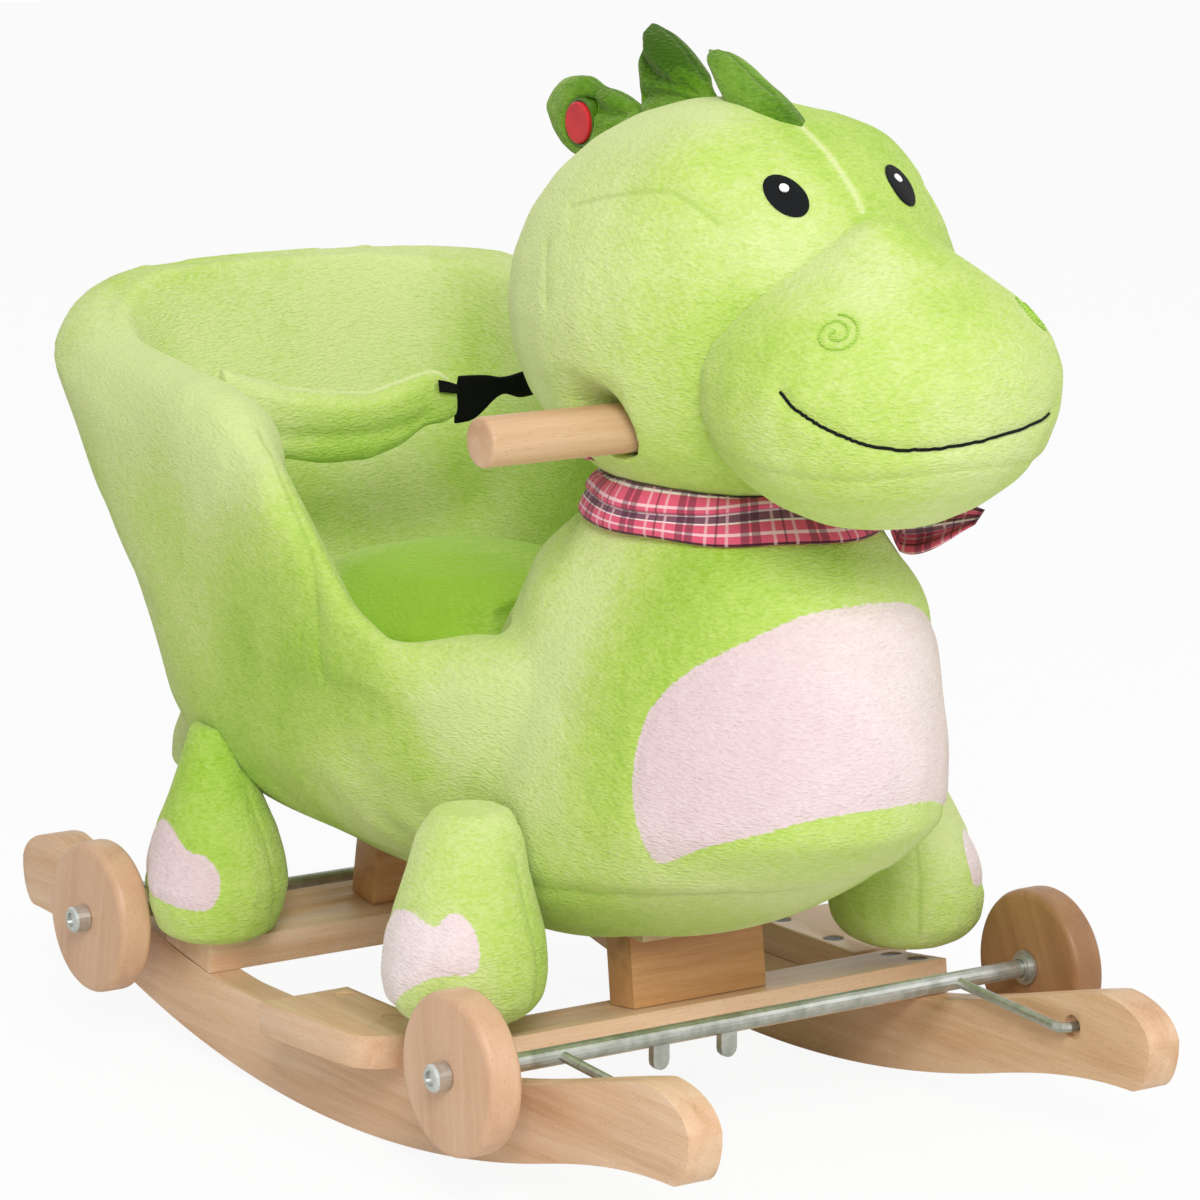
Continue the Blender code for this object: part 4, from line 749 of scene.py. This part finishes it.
# Each nostril is a spiral, from this inner radius to this outer one
NOSTRIL = (0.0008, 0.0104)
NOSTRIL_TURN = math.radians(690)
NOSTRIL_START = 2.2
snout = stuffed("snout", "snout_plush", plush, voxel=0.0034, easing=8, pressure=2.0, reach=0.0022)
tree = skin_tree(snout)
mouth = route(tree, MOUTH)
nostrils = []
for _, sign in SIDES:
    spot, across, rise, _ = facing(tree, (sign * 0.0545, -0.3110, 0.4079))
    swirl = []
    for k in range(90):
        reach = NOSTRIL[0] + (NOSTRIL[1] - NOSTRIL[0]) * (k / 89) ** 0.75
        turn = NOSTRIL_START + NOSTRIL_TURN * k / 89
        swirl.append(spot - across * (sign * reach * math.cos(turn)) + rise * (reach * math.sin(turn)))
    nostrils.append(on_skin(tree, swirl))
chin = route(tree, CHIN_SEAM)
press_in(snout, [mouth], depth=0.0016, width=0.0034)
press_in(snout, nostrils, depth=0.0005, width=0.0018)
# The chin's seam shows less than the others: its pile has closed over it
finish_pile(snout, press_in(snout, [chin], depth=0.0007, width=0.003) + 0.7 * MM)
stand_in(snout, "snout_plush")
tree = skin_tree(snout)
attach(thread_along("mouth_stitching", on_skin(tree, mouth, 0.0001), 0.0008, black_thread), "base")
for (side, _), swirl in zip(SIDES, nostrils):
    swirl = on_skin(tree, swirl, 0.0005)
    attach(thread_along("nostril_stitching_" + side, swirl, 0.0006, green_thread), "base")

# Eyes: ovals of satin stitch with a white glint. They lean, their lower ends towards the snout

EYE_PLACES = {"left": (0.0334, -0.2425, 0.4600), "right": (-0.0312, -0.2425, 0.4580)}
EYE_LEAN = math.radians(35)
tree = skin_tree(head)
for side, sign in SIDES:
    spot, across, rise, out = facing(tree, EYE_PLACES[side])
    upright = Matrix((across, rise, out)).transposed().to_4x4()
    # Half width and height, how far the oval is shifted across and up, and how proud it stands
    for part, look, half, shift, proud in (
        ("eye_", black_thread, (0.0086, 0.0127), (0.0, 0.0), 0.0006),
        ("eye_glint_", white_thread, (0.0021, 0.0024), (sign * 0.0008, 0.0033), 0.0014),
    ):
        put_down()
        bpy.ops.mesh.primitive_circle_add(vertices=48, radius=1.0, fill_type="TRIFAN", location=(0, 0, 0))
        eye = begin(part + side, look)
        open_up(eye)
        bpy.ops.mesh.subdivide(number_cuts=3)
        bpy.ops.transform.resize(value=(*half, 1.0))
        bpy.ops.object.mode_set(mode="OBJECT")
        eye.data.transform(Matrix.Rotation(-sign * EYE_LEAN, 4, "Z"))
        middle = spot + across * shift[0] + rise * shift[1]
        eye.data.transform(Matrix.Translation(middle) @ upright)
        move_points(eye, on_skin(tree, [v.co for v in eye.data.vertices], 0.0002))
        finish_with(eye, "SOLIDIFY", thickness=proud, offset=1.0)
        face_outwards(eye)
        ease_edges(eye, 0.0003, 2, 60)
        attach(eye, "base")

# Legs, stitched up their sides, with a pink patch on the outside of each foot

# Each leg's axis, as X and Y
LEG_AXES = {"front": (0.1288, -0.1335), "rear": (0.130, 0.0905)}
LEG_PATCHES = {
    # degrees round the leg from its outside towards its front, and height in mm
    "front": (
        (2, 128), (16, 126), (31, 124), (41, 129), (50, 130), (60, 127), (67, 120), (68, 110), (63, 104),
        (50, 103), (38, 102), (27, 99), (12, 93), (-14, 81), (-34, 82), (-50, 92), (-52, 108), (-40, 121),
        (-18, 127),
    ),
    "rear": (
        (-32, 122), (-8, 119), (12, 114), (31, 110), (46, 109), (59, 104), (64, 97), (60, 88),
        (50, 83), (30, 83), (8, 85), (-14, 87), (-38, 91), (-56, 98), (-58, 110), (-48, 119),
    ),
}
# So much cloth goes to a degree round a leg
LEG_DEGREE = 0.62 * MM
# The seams' places round a leg, the height that they start at and how far up they run
LEG_SEAMS = (math.radians(118), math.radians(-78))
LEG_SEAM_LOW, LEG_SEAM_RUN = 0.074, 0.086
# They are looked for on the skin from this far off the axis
LEG_SEAM_OFF = 0.05
for end, (axis_x, axis_y) in LEG_AXES.items():
    for side, sign in SIDES:
        node = f"{end}_leg_{side}"
        name = f"{end}_leg_cover_{side}"
        leg = stuffed(name, node, patched_plush, voxel=0.0030, easing=6, pressure=2.5, reach=0.0022)
        points = points_of(leg)
        turn = np.degrees(np.arctan2(-(points[:, 1] - axis_y), sign * points[:, 0] - axis_x))
        outline = rounded([(a * LEG_DEGREE, z * MM) for a, z in LEG_PATCHES[end]])
        signed = inside_outline(turn * LEG_DEGREE, points[:, 2], outline)
        sew_patch(leg, signed, depth=0.0007, width=0.0028)
        tree = skin_tree(leg)
        seams = []
        for spin in LEG_SEAMS:
            x = sign * (axis_x + LEG_SEAM_OFF * math.cos(spin))
            y = axis_y - LEG_SEAM_OFF * math.sin(spin)
            seams.append(on_skin(tree, [(x, y, LEG_SEAM_LOW + LEG_SEAM_RUN * k / 8) for k in range(9)]))
        finish_pile(leg, press_in(leg, seams, depth=0.0008, width=0.0030))
        stand_in(leg, node)

# Tail, with a seam down its back

tail = stuffed("tail", "tail_plush", plush, voxel=0.0032, easing=5, pressure=2.0, reach=0.0018)
back = on_skin(skin_tree(tail), [(0.0, 0.22 + 0.014 * k, 0.215 - 0.0125 * k) for k in range(10)])
finish_pile(tail, press_in(tail, [back], depth=0.0009, width=0.003))
stand_in(tail, "tail_plush")

# Seat cushion. None of its seams shows

filling = {"pressure": 4.0, "reach": 0.006, "firm": 10.0}
cushion = stuffed("cushion", "seat_cushion", plush, voxel=0.0045, easing=6, **filling)
finish_pile(cushion, distance_to_lines(points_of(cushion), []))
stand_in(cushion, "seat_cushion")

# Belt: the padded part, its flat tab and the twisted webbing that holds it

BELT_Z = 0.314
# The CAD pad's half height, and where it begins and how long it is
PAD_HALF, PAD_START, PAD_LENGTH = 0.026, -0.118, 0.134
# How far the pad's upper and lower edges lie from its middle line, along its length, in mm (X, up, down)
PAD_EDGES = (
    (-118, 30, 6), (-110, 31, 10), (-98, 29, 14), (-80, 22, 20), (-60, 19, 24),
    (-32, 16, 25), (-12, 19, 20), (0, 21, 12), (8, 18, 9), (16, 12, 7),
)
pad = stitched("belt_cover", "belt_pad", plush, voxel=0.0030, easing=3)
points = points_of(pad)
xs, ups, downs = np.array(PAD_EDGES).T * MM
along = np.clip((points[:, 0] - PAD_START) / PAD_LENGTH, 0.08, 0.94)
share = (points[:, 2] - BELT_Z) / (PAD_HALF * np.clip(np.sin(np.pi * along), 0.2, 1) ** 0.45)
edge = np.where(share > 0, np.interp(points[:, 0], xs, ups), np.interp(points[:, 0], xs, downs))
points[:, 2] = BELT_Z + share * edge
# One end is sewn into the tub's right wall, the other reaches for the webbing
points[:, 0] -= 0.012 * eased((-0.080 - points[:, 0]) / 0.03)
points[:, 0] += 0.006 * eased((points[:, 0] + 0.020) / 0.036)
move_points(pad, points)
fill_out(pad, pressure=4.0, reach=0.0035, firm=8.0)
finish_with(pad, "SMOOTH", factor=0.5, iterations=3)
make_finer(pad)
tree = skin_tree(pad)
top_seam = route(tree, [(x, 104, BELT_Z / MM + up + 4) for x, up, _ in PAD_EDGES])
under_fold = route(tree, [(x, 90, BELT_Z / MM - down * 0.42) for x, _, down in PAD_EDGES[1:-2]])
press_in(pad, [top_seam], depth=0.0010, width=0.0022)
# The pile lies over the seam, which shows paler and not parted
finish_pile(pad, distance_to_lines(points_of(pad), []))
brush_pale(pad, top_seam)
press_in(pad, [under_fold], depth=0.0022, width=0.005)
stand_in(pad, "belt_pad")


def sheet_mesh(name, rows, closed=False):
    """A sheet through rows of points, each row going across it."""
    across = len(rows[0])
    faces = []
    for i in range(len(rows) - (0 if closed else 1)):
        here, after = i * across, (i + 1) % len(rows) * across
        for k in range(across - 1):
            faces.append((here + k, here + k + 1, after + k + 1, after + k))
    mesh = bpy.data.meshes.new(name)
    mesh.from_pydata([tuple(spot) for row in rows for spot in row], [], faces)
    return mesh


def webbing_strip(name, rows, thick):
    """Flat webbing through rows of points."""
    strip = place(name, sheet_mesh(name, rows))
    strip.data.materials.append(webbing)
    finish_with(strip, "SOLIDIFY", thickness=thick, offset=0.0)
    face_outwards(strip)
    ease_edges(strip, thick * 0.3, 2, 50)
    return strip


# From the pad's end the webbing turns a quarter over and narrows in its twist, up to the tub's side
WEBBING_START, WEBBING_END = 0.0225, 0.1045
WEBBING_HALF, WEBBING_NARROWS = 0.0125, 0.0072
rows = []
for part in np.arange(29) / 28:
    half = WEBBING_HALF - WEBBING_NARROWS * math.exp(-(((part - 0.36) / 0.14) ** 2))
    turn = math.radians(8 + 62 * (3 * part**2 - 2 * part**3))
    x = WEBBING_START + (WEBBING_END - WEBBING_START) * part
    y = 0.1065 + 0.001 * math.sin(part * 5)
    z = BELT_Z + 0.0028 + 0.0050 * eased((part - 0.10) / 0.30)
    row = []
    for over in np.arange(7) / 6 - 0.5:
        off = 2 * half * over
        curl = 0.0010 * math.cos(over * math.pi)
        row.append((x, y - off * math.sin(turn) + curl, z + off * math.cos(turn)))
    rows.append(row)
stand_in(webbing_strip("belt_webbing", rows, 0.0016), "belt_strap")
# The webbing's end, sewn flat on the pad
rows = []
for k in range(9):
    x = 0.0075 + 0.0150 * k / 8
    rows.append([(x, 0.0945 - 0.0003 * k, 0.3275 + (j / 4 - 0.5) * 0.0072 - 0.0003 * k) for j in range(5)])
tab = webbing_strip("belt_tab", rows, 0.0014)
tree = skin_tree(pad)
for vertex in tab.data.vertices:
    spot, normal, _, _ = tree.find_nearest(vertex.co)
    vertex.co = vertex.co + (spot - vertex.co) * 0.8 + normal * 0.0006
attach(tab, "base")

# Spikes, each with a seam along its crest, and the folds that they have sunk into

BUTTON = (-0.050, 0.473)
BUTTON_HOLE = 0.0103
# Each spike's seams at X = 0, and its folds, which are on both sides. All are lines of (Y, Z) in mm
SPIKES = {
    "spike_front": ([[(-150, 516), (-172, 504), (-190, 491), (-206, 481)]], []),
    "spike_middle": (
        [[(-104, 524), (-123, 516), (-143, 506)]],
        [
            [(-92, 513), (-103, 504), (-117, 498.5), (-133, 497), (-146, 499)],
            [(-98, 489), (-118, 491.5), (-142, 492)],
        ],
    ),
    "spike_rear": (
        [[(-30, 495), (-52, 493), (-80, 488)]],
        [[(-55, 483.5), (-68, 481), (-82, 482)]],
    ),
}
FOLD_X = 12
for node, (crests, folds) in SPIKES.items():
    spike = stitched(node + "_cover", node, spike_plush, voxel=0.0015, easing=4)
    make_finer(spike)
    points = points_of(spike) + normals_of(spike) * 0.0009
    if node == "spike_middle":
        points[:, 1] -= 0.008 - 0.002 * eased((points[:, 2] - 0.495) / 0.012)
    elif node == "spike_front":
        points[:, 2] += 0.0060 + (points[:, 1] + 0.145) * 0.1
        points[:, 2] -= 0.0072 * eased((-0.148 - points[:, 1]) / 0.035)
    else:
        # The button's place stays, and what is round it is lifted
        free = eased((np.linalg.norm(points[:, 1:] - np.array(BUTTON), axis=1) - 0.011) / 0.008)
        points[:, 2] += 0.0035 * free * eased((points[:, 2] - 0.476) / 0.008)
        points[:, 1] -= 0.008 * eased((-0.055 - points[:, 1]) / 0.03)
    move_points(spike, points)
    if node == "spike_rear":
        close_round(spike, BUTTON, BUTTON_HOLE, spread=0.004)
    tree = skin_tree(spike)
    crests = [route(tree, [(0, y, z) for y, z in line]) for line in crests]
    folds = [route(tree, [(x, y, z) for y, z in line]) for line in folds for x in (-FOLD_X, FOLD_X)]
    press_in(spike, folds, depth=0.0038, width=0.0032)
    finish_pile(spike, press_in(spike, crests, depth=0.0012, width=0.0016))
    stand_in(spike, node)

# Scarf: one long cotton strip, folded lengthwise and tied at the toy's left

SCARF_LOW, SCARF_TOP = 0.2990, 0.3290
NECK_Y = -0.163
COTTON_THICK = 0.0007
head_skin, snout_skin, body_skin = (skin_tree(piece) for piece in (head, snout, body))


def cotton_sheet(name, rows, closed=False):
    """Cotton through rows of points, with its own lie as a UV map in metres."""
    mesh = sheet_mesh(name, rows, closed)
    places = np.array(rows, dtype=float)
    count, across = places.shape[:2]
    run = np.linalg.norm(places[1:] - places[:-1], axis=2).mean(axis=1)
    along = np.concatenate([[0.0], np.cumsum(run)])
    over = np.linalg.norm(places[:, 1:] - places[:, :-1], axis=2).mean(axis=0)
    over = np.concatenate([[0.0], np.cumsum(over)])
    laid = mesh.uv_layers.new(name="cloth")
    for polygon in mesh.polygons:
        last = closed and polygon.index // (across - 1) == count - 1
        for loop in polygon.loop_indices:
            row, k = divmod(mesh.loops[loop].vertex_index, across)
            # A closed sheet's last faces end on its first row, once more round
            u = along[-1] + run.mean() if last and row == 0 else along[row]
            laid.data[loop].uv = (u, over[k])
    sheet = place(name, mesh)
    sheet.data.materials.append(cotton)
    finish_with(sheet, "SOLIDIFY", thickness=COTTON_THICK, offset=0.0)
    shade(sheet, 180)
    return sheet


def hang_over(rows, skins, below, gap):
    """Where stuffed pieces hang over the cloth, they press it down to a gap under them."""
    for spot in (spot for row in rows for spot in row):
        for skin in skins:
            hit, _, _, _ = skin.ray_cast(Vector((spot.x, spot.y, below)), UP)
            if hit and spot.z > hit.z - gap:
                spot.z = hit.z - gap


rows = []
for turn in np.arange(120) * (2 * math.pi / 120):
    way = Vector((math.cos(turn), math.sin(turn), 0.0))
    wave = 0.0012 * math.sin(3 * turn + 0.6) + 0.0007 * math.sin(7 * turn + 2.0)
    # It has ridden up behind the toy's right cheek
    ridden = math.exp(-(((math.degrees(turn) - 172) / 34) ** 2))
    low = SCARF_LOW + 0.002 * (1 + math.sin(turn)) + 0.6 * wave
    top = SCARF_TOP + 0.002 * (1 + math.sin(turn)) + wave + 0.0040 * ridden
    # The lip of the upper fold comes down from the toy's right to its left
    lip = 0.60 - 0.28 * (0.5 + 0.5 * math.sin(turn - 0.9)) + 0.02 * math.sin(5 * turn)
    fullness = 1.0 + 0.12 * math.sin(4 * turn + 1.0)
    # Across the folded strip: how far out from the neck in mm, and the share of its height
    section = (
        (0.8, 0.12), (1.2, 0.03), (2.6, 0.00), (4.0, 0.05), (4.8, 0.5 * lip), (4.6, lip - 0.05),
        (4.0, lip + 0.10), (4.3, lip + 0.20), (5.0, lip + 0.20), (5.7, lip + 0.06), (6.3, lip - 0.01),
        (6.9, lip + 0.03), (6.9, lip + 0.14), (6.3, 0.5 * lip + 0.5), (5.0, 0.93), (3.4, 1.00),
        (1.8, 0.98), (0.9, 0.88),
    )
    row = []
    for out, share in section:
        start = Vector((0.0, NECK_Y, low + (top - low) * share))
        hit, _, _, _ = body_skin.ray_cast(start + way * 0.2, -way)
        reach = (hit - start).length if hit else 0.066
        if out > 1.5:
            out = out * fullness + 2.0 * ridden
        row.append(start + way * (reach + out * MM))
    rows.append(row)
hang_over(rows, (head_skin, snout_skin), 0.285, 0.0012)
scarf = cotton_sheet("scarf_folds", rows, True)
stand_in(scarf, "scarf_band")

# The loose end comes out of its own knot in pleats and spreads
END_LENGTH = 0.0415
PLEAT_DEPTH = 0.0050
turn = math.radians(-45)
away = Vector((math.cos(turn), math.sin(turn), 0.0))
beside = Vector((-away.y, away.x, 0.0))
root = Vector((0.0, NECK_Y, 0.3072)) + away * 0.0730
rows = []
for i in range(25):
    part = i / 24
    half = (0.0065 + 0.0090 * math.sin(math.pi * part**0.6)) * (1 - 0.55 * part**3)
    droop = -0.0075 * min(1.0, part / 0.12) + 0.0045 * part
    row = []
    for j in range(33):
        over = j / 32 * 2 - 1
        pleat = PLEAT_DEPTH * (1 - 0.62 * part) * math.sin(3.2 * math.pi * over + 0.4)
        spot = root + away * (END_LENGTH * part + 0.002 * over * part)
        row.append(spot + beside * (pleat + 0.003 * over * part) + UP * (droop + half * over))
    rows.append(row)
hang_over(rows, (snout_skin,), 0.270, 0.001)
loose_end = cotton_sheet("scarf_end", rows)
stand_in(loose_end, "scarf_knot")
# The knot's turn of cloth goes once round the root
WRAP_HALF_WIDE, WRAP_HALF_HIGH = 0.0070, 0.0090
rows = []
for i in range(32):
    spin = 2 * math.pi * i / 32
    row = []
    for part in np.arange(9) / 8:
        bulge = 0.0012 * math.sin(math.pi * part)
        spot = root + away * (0.0015 + 0.0085 * part) + beside * ((WRAP_HALF_WIDE + bulge) * math.cos(spin))
        row.append(spot + UP * ((WRAP_HALF_HIGH + bulge) * math.sin(spin) - 0.001))
    rows.append(row)
wrap = cotton_sheet("scarf_wrap", rows, True)
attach(wrap, "base")

# Wood

# The rockers' middle lies this far from the middle of the whole toy
ROCKERS_Y = -0.025
ROCKER_X = 0.1299
ROCKER_THICK = 0.0182
ROCKER_REACH = 0.301
# Heights of the top in the middle and at the tips' crests, and of the tips' middle and lower edge
TOP_LOW, TOP_HIGH, TIP_MIDDLE, TIP_LOW = 0.0435, 0.0828, 0.0635, 0.0415
# The recesses for the axle frames' pivots end here, measured across the toy
RECESS_END_X, RECESS_LENGTH, RECESS_RADIUS = 0.1243, 0.03, 0.00575
PIVOT_Z = 0.062
# Each end's axle and pivot, as Y
AXLES = {"front": (-0.1908, -0.271), "rear": (0.1408, 0.221)}


def rocker_top(reach):
    """The rocker's top, level in the middle and rising to its tips."""
    flat, shoulder = 0.084, 0.266
    if reach <= flat:
        return TOP_LOW
    if reach <= shoulder:
        t = (reach - flat) / (shoulder - flat)
        return TOP_LOW + (TOP_HIGH - TOP_LOW) * (0.22 * t + 1.46 * t**2 - 0.68 * t**3)
    t = min((reach - shoulder) / (ROCKER_REACH - shoulder), 1.0)
    return TIP_MIDDLE + (TOP_HIGH - TIP_MIDDLE) * math.sqrt(max(1 - t * t, 0.0))


def rocker_sole(reach):
    """The rocker's sole: an arc of 715 mm, easing off towards the tips."""
    radius, arc, rounding = 0.715, 0.190, 0.012
    if reach <= arc:
        return radius - math.sqrt(radius**2 - reach**2)
    start = radius - math.sqrt(radius**2 - arc**2)
    slope = arc / math.sqrt(radius**2 - arc**2)
    last = ROCKER_REACH - rounding
    if reach <= last:
        t = (reach - arc) / (last - arc)
        ease = slope * (last - arc) * (t**3 - 2 * t**2 + t)
        return start + (TIP_LOW - start) * (3 * t**2 - 2 * t**3) + ease
    t = min((reach - last) / rounding, 1.0)
    return TIP_MIDDLE - (TIP_MIDDLE - TIP_LOW) * math.sqrt(max(1 - t * t, 0.0))


for side, sign in SIDES:
    tones = ("C6996F", "DDB692", "E9CBAD")
    look = lacquered_beech("beech_rocker_" + side, 1, tones, (0.0, 0.1 * sign, 0.0))
    put_down()
    bpy.ops.mesh.primitive_cube_add(size=1.0, location=(sign * ROCKER_X, ROCKERS_Y, 0.05))
    rocker = begin("rocker_" + side + "_board", look)
    rocker.scale = (ROCKER_THICK, 2 * ROCKER_REACH, 0.04)
    settle(rocker)
    bpy.ops.object.mode_set(mode="EDIT")
    mesh = bmesh.from_edit_mesh(rocker.data)
    for edge in mesh.edges:
        run = edge.verts[0].co - edge.verts[1].co
        edge.select_set(abs(run.y) > 0.1)
    bpy.ops.mesh.subdivide(number_cuts=119)
    bpy.ops.object.mode_set(mode="OBJECT")
    # Columns stand closer together towards the tips
    crowding = math.pi / 2 * 0.985
    for vertex in rocker.data.vertices:
        part = (vertex.co.y - ROCKERS_Y) / ROCKER_REACH
        reach = ROCKER_REACH * math.sin(min(abs(part), 1.0) * crowding) / math.sin(crowding)
        top = vertex.co.z > 0.05
        vertex.co.y = ROCKERS_Y + math.copysign(reach, part)
        vertex.co.z = rocker_top(reach) if top else rocker_sole(reach)
        # The tips' ends stay a little open, for their edges to be rounded
        if abs(part) > 0.999:
            vertex.co.z = 0.0665 if top else 0.0600
    for _, pivot_y in AXLES.values():
        middle = (sign * (RECESS_END_X - RECESS_LENGTH / 2), pivot_y, PIVOT_Z)
        cut_away(rocker, turned_bar("recess", None, RECESS_RADIUS, RECESS_LENGTH, middle, 40))
    ease_edges(rocker, 0.0024, 3, 50)
    stand_in(rocker, "rocker_" + side)

for node in ("front_plank", "rear_plank", "footrest_left", "footrest_right", "front_block", "rear_block"):
    # The grain runs lengthwise: along Y on the footrests and across the toy on the others
    along = 1 if node.startswith("footrest") else 0
    tones = ("B17A48", "CA9863", "DAAA78") if "block" in node else ("C4966F", "DAB28E", "E6C7A8")
    board = copy_of(node, node + "_board", lacquered_beech("beech_" + node, along, tones, BOARD_GRAIN))
    open_up(board)
    bpy.ops.mesh.dissolve_limited(angle_limit=math.radians(1))
    bpy.ops.object.mode_set(mode="OBJECT")
    ease_edges(board, 0.0008 if "block" in node else 0.0012, 2, 60)
    stand_in(board, node)

tones = ("B88B66", "CCA47E", "D8B593")
dowel_wood = lacquered_beech("beech_dowel", 0, tones, (0.0, *HANDLE), (0.3, 0.0, 0.0))
dowel = turned_bar("grab_bar", dowel_wood, HANDLE_RADIUS, HANDLE_LENGTH, (0.0, *HANDLE), 64)
ease_edges(dowel, 0.0016, 3, 50)
stand_in(dowel, "handle_dowel")

# Wheels, each with its own piece of wood, cut from another place of the board

WHEEL_X = 0.16745
WHEEL_RADIUS, WHEEL_THICK = 0.038, 0.0177
BORE_RADIUS = 0.0048
AXLE_Z = 0.0669
GRAIN_TURNS = {"front_wheel_right": 4, "rear_wheel_right": -12, "front_wheel_left": 25, "rear_wheel_left": 60}
for end, (axle_y, _) in AXLES.items():
    for side, sign in SIDES:
        node = f"{end}_wheel_{side}"
        middle = (sign * WHEEL_X, axle_y, AXLE_Z)
        # The left wheels, on the far side, have darker tones: painted shade
        tones = ("87603C", "9A704A", "AA8059") if side == "left" else ("C99D79", "D5AC8B", "DFBB9B")
        turn = (math.radians(GRAIN_TURNS[node]), 0.0, 0.0)
        look = lacquered_beech(f"beech_wheel_{end}_{side}", 2, tones, (0.0, axle_y, AXLE_Z), turn)
        wheel = turned_bar(node + "_disc", look, WHEEL_RADIUS, WHEEL_THICK, middle, 96)
        ease_edges(wheel, 0.004, 5, 50)
        cut_away(wheel, turned_bar("bore", None, BORE_RADIUS, 0.04, middle, 40))
        shade(wheel, 35)
        stand_in(wheel, node, node + "_body")

# CAD nodes that show as they are: each takes the first finish whose word is in its name

FINISHES = (
    ("axle_frame", steel),
    ("washer", steel),
    ("hub_cap", cap_steel),
    # No heads show on the right footrest: wooden plugs cover them
    ("footrest_screw_right", plug_wood),
    ("screw", screw_steel),
    ("bolt", screw_steel),
    ("sound_button", red_plastic),
    ("sound_module", green_plastic),
    ("seat_board", plywood),
    ("neck_post", plywood),
)
for name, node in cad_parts.items():
    look = next((look for word, look in FINISHES if word in name), None)
    if look is not None:
        node.data.materials.clear()
        node.data.materials.append(look)

# Studio: a pale floor, soft light and the camera at the photograph's place

put_down()
bpy.ops.mesh.primitive_plane_add(size=12.0, location=(0, 0, 0))
floor_look, tree, _ = new_material("studio_floor", "F2F2F0", 0.9)
seen = add(tree, "LightPath", out="Is Camera Ray")
white = add(tree, "Emission", {"Color": (1, 1, 1, 1), "Strength": 1.0})
seen = add(tree, "Math", {0: seen, 1: 0.92}, operation="MULTIPLY")
mix = add(tree, "MixShader", {0: seen, 1: tree.nodes["Principled BSDF"].outputs[0], 2: white})
tree.links.new(mix, tree.nodes["Material Output"].inputs["Surface"])
begin("studio_floor", floor_look)

world = bpy.data.worlds.new("studio")
bpy.context.scene.world = world
world.use_nodes = True
tree = world.node_tree
back = tree.nodes["Background"]
back.inputs["Color"].default_value = (1.0, 1.0, 1.0, 1.0)
rays = {n: add(tree, "LightPath", out=ray) for n, ray in enumerate(("Is Camera Ray", "Is Glossy Ray"))}
seen = add(tree, "Math", rays, operation="MAXIMUM")
strength = add(tree, "MapRange", {"Value": seen, "To Min": 0.44, "To Max": 1.0})
tree.links.new(strength, back.inputs["Strength"])

# The lamps point at the toy's middle
AIM = Vector((0, 0, 0.22))
for name, spot, size, power in (
    ("key_light", (-1.3, -2.2, 1.9), 1.2, 56.0),
    ("fill_light", (1.9, -1.6, 1.5), 1.8, 12.0),
    ("top_light", (0.1, 0.2, 2.6), 1.6, 9.0),
):
    lamp = bpy.data.lights.new(name, "AREA")
    lamp.energy = power
    lamp.size = size
    holder = place(name, lamp)
    holder.location = spot
    holder.rotation_euler = (AIM - Vector(spot)).to_track_quat("-Z", "Y").to_euler()

# The camera as it was solved from the photograph: its place, its turn, and its focal length in pixels
CAMERA_PLACE = (-1.371, -2.040, 0.720)
FOCAL_PIXELS, PHOTO_PIXELS = 5103.74, 1200
yaw, pitch, roll = math.radians(34.634), math.radians(11.193), math.radians(-0.352)
ahead = Vector((math.sin(yaw) * math.cos(pitch), math.cos(yaw) * math.cos(pitch), -math.sin(pitch)))
right = Vector((math.cos(yaw), -math.sin(yaw), 0.0))
down = ahead.cross(right)
across = math.cos(roll) * right + math.sin(roll) * down
below = -math.sin(roll) * right + math.cos(roll) * down
camera = bpy.data.cameras.new("camera")
camera.sensor_width = 36.0
camera.lens = FOCAL_PIXELS / PHOTO_PIXELS * camera.sensor_width
camera.clip_start = 0.05
camera.clip_end = 30.0
holder = place("camera", camera)
turned = Matrix((across, -below, -ahead)).transposed().to_4x4()
holder.matrix_world = Matrix.Translation(CAMERA_PLACE) @ turned
bpy.context.scene.camera = holder
bpy.context.scene.view_settings.view_transform = "Standard"
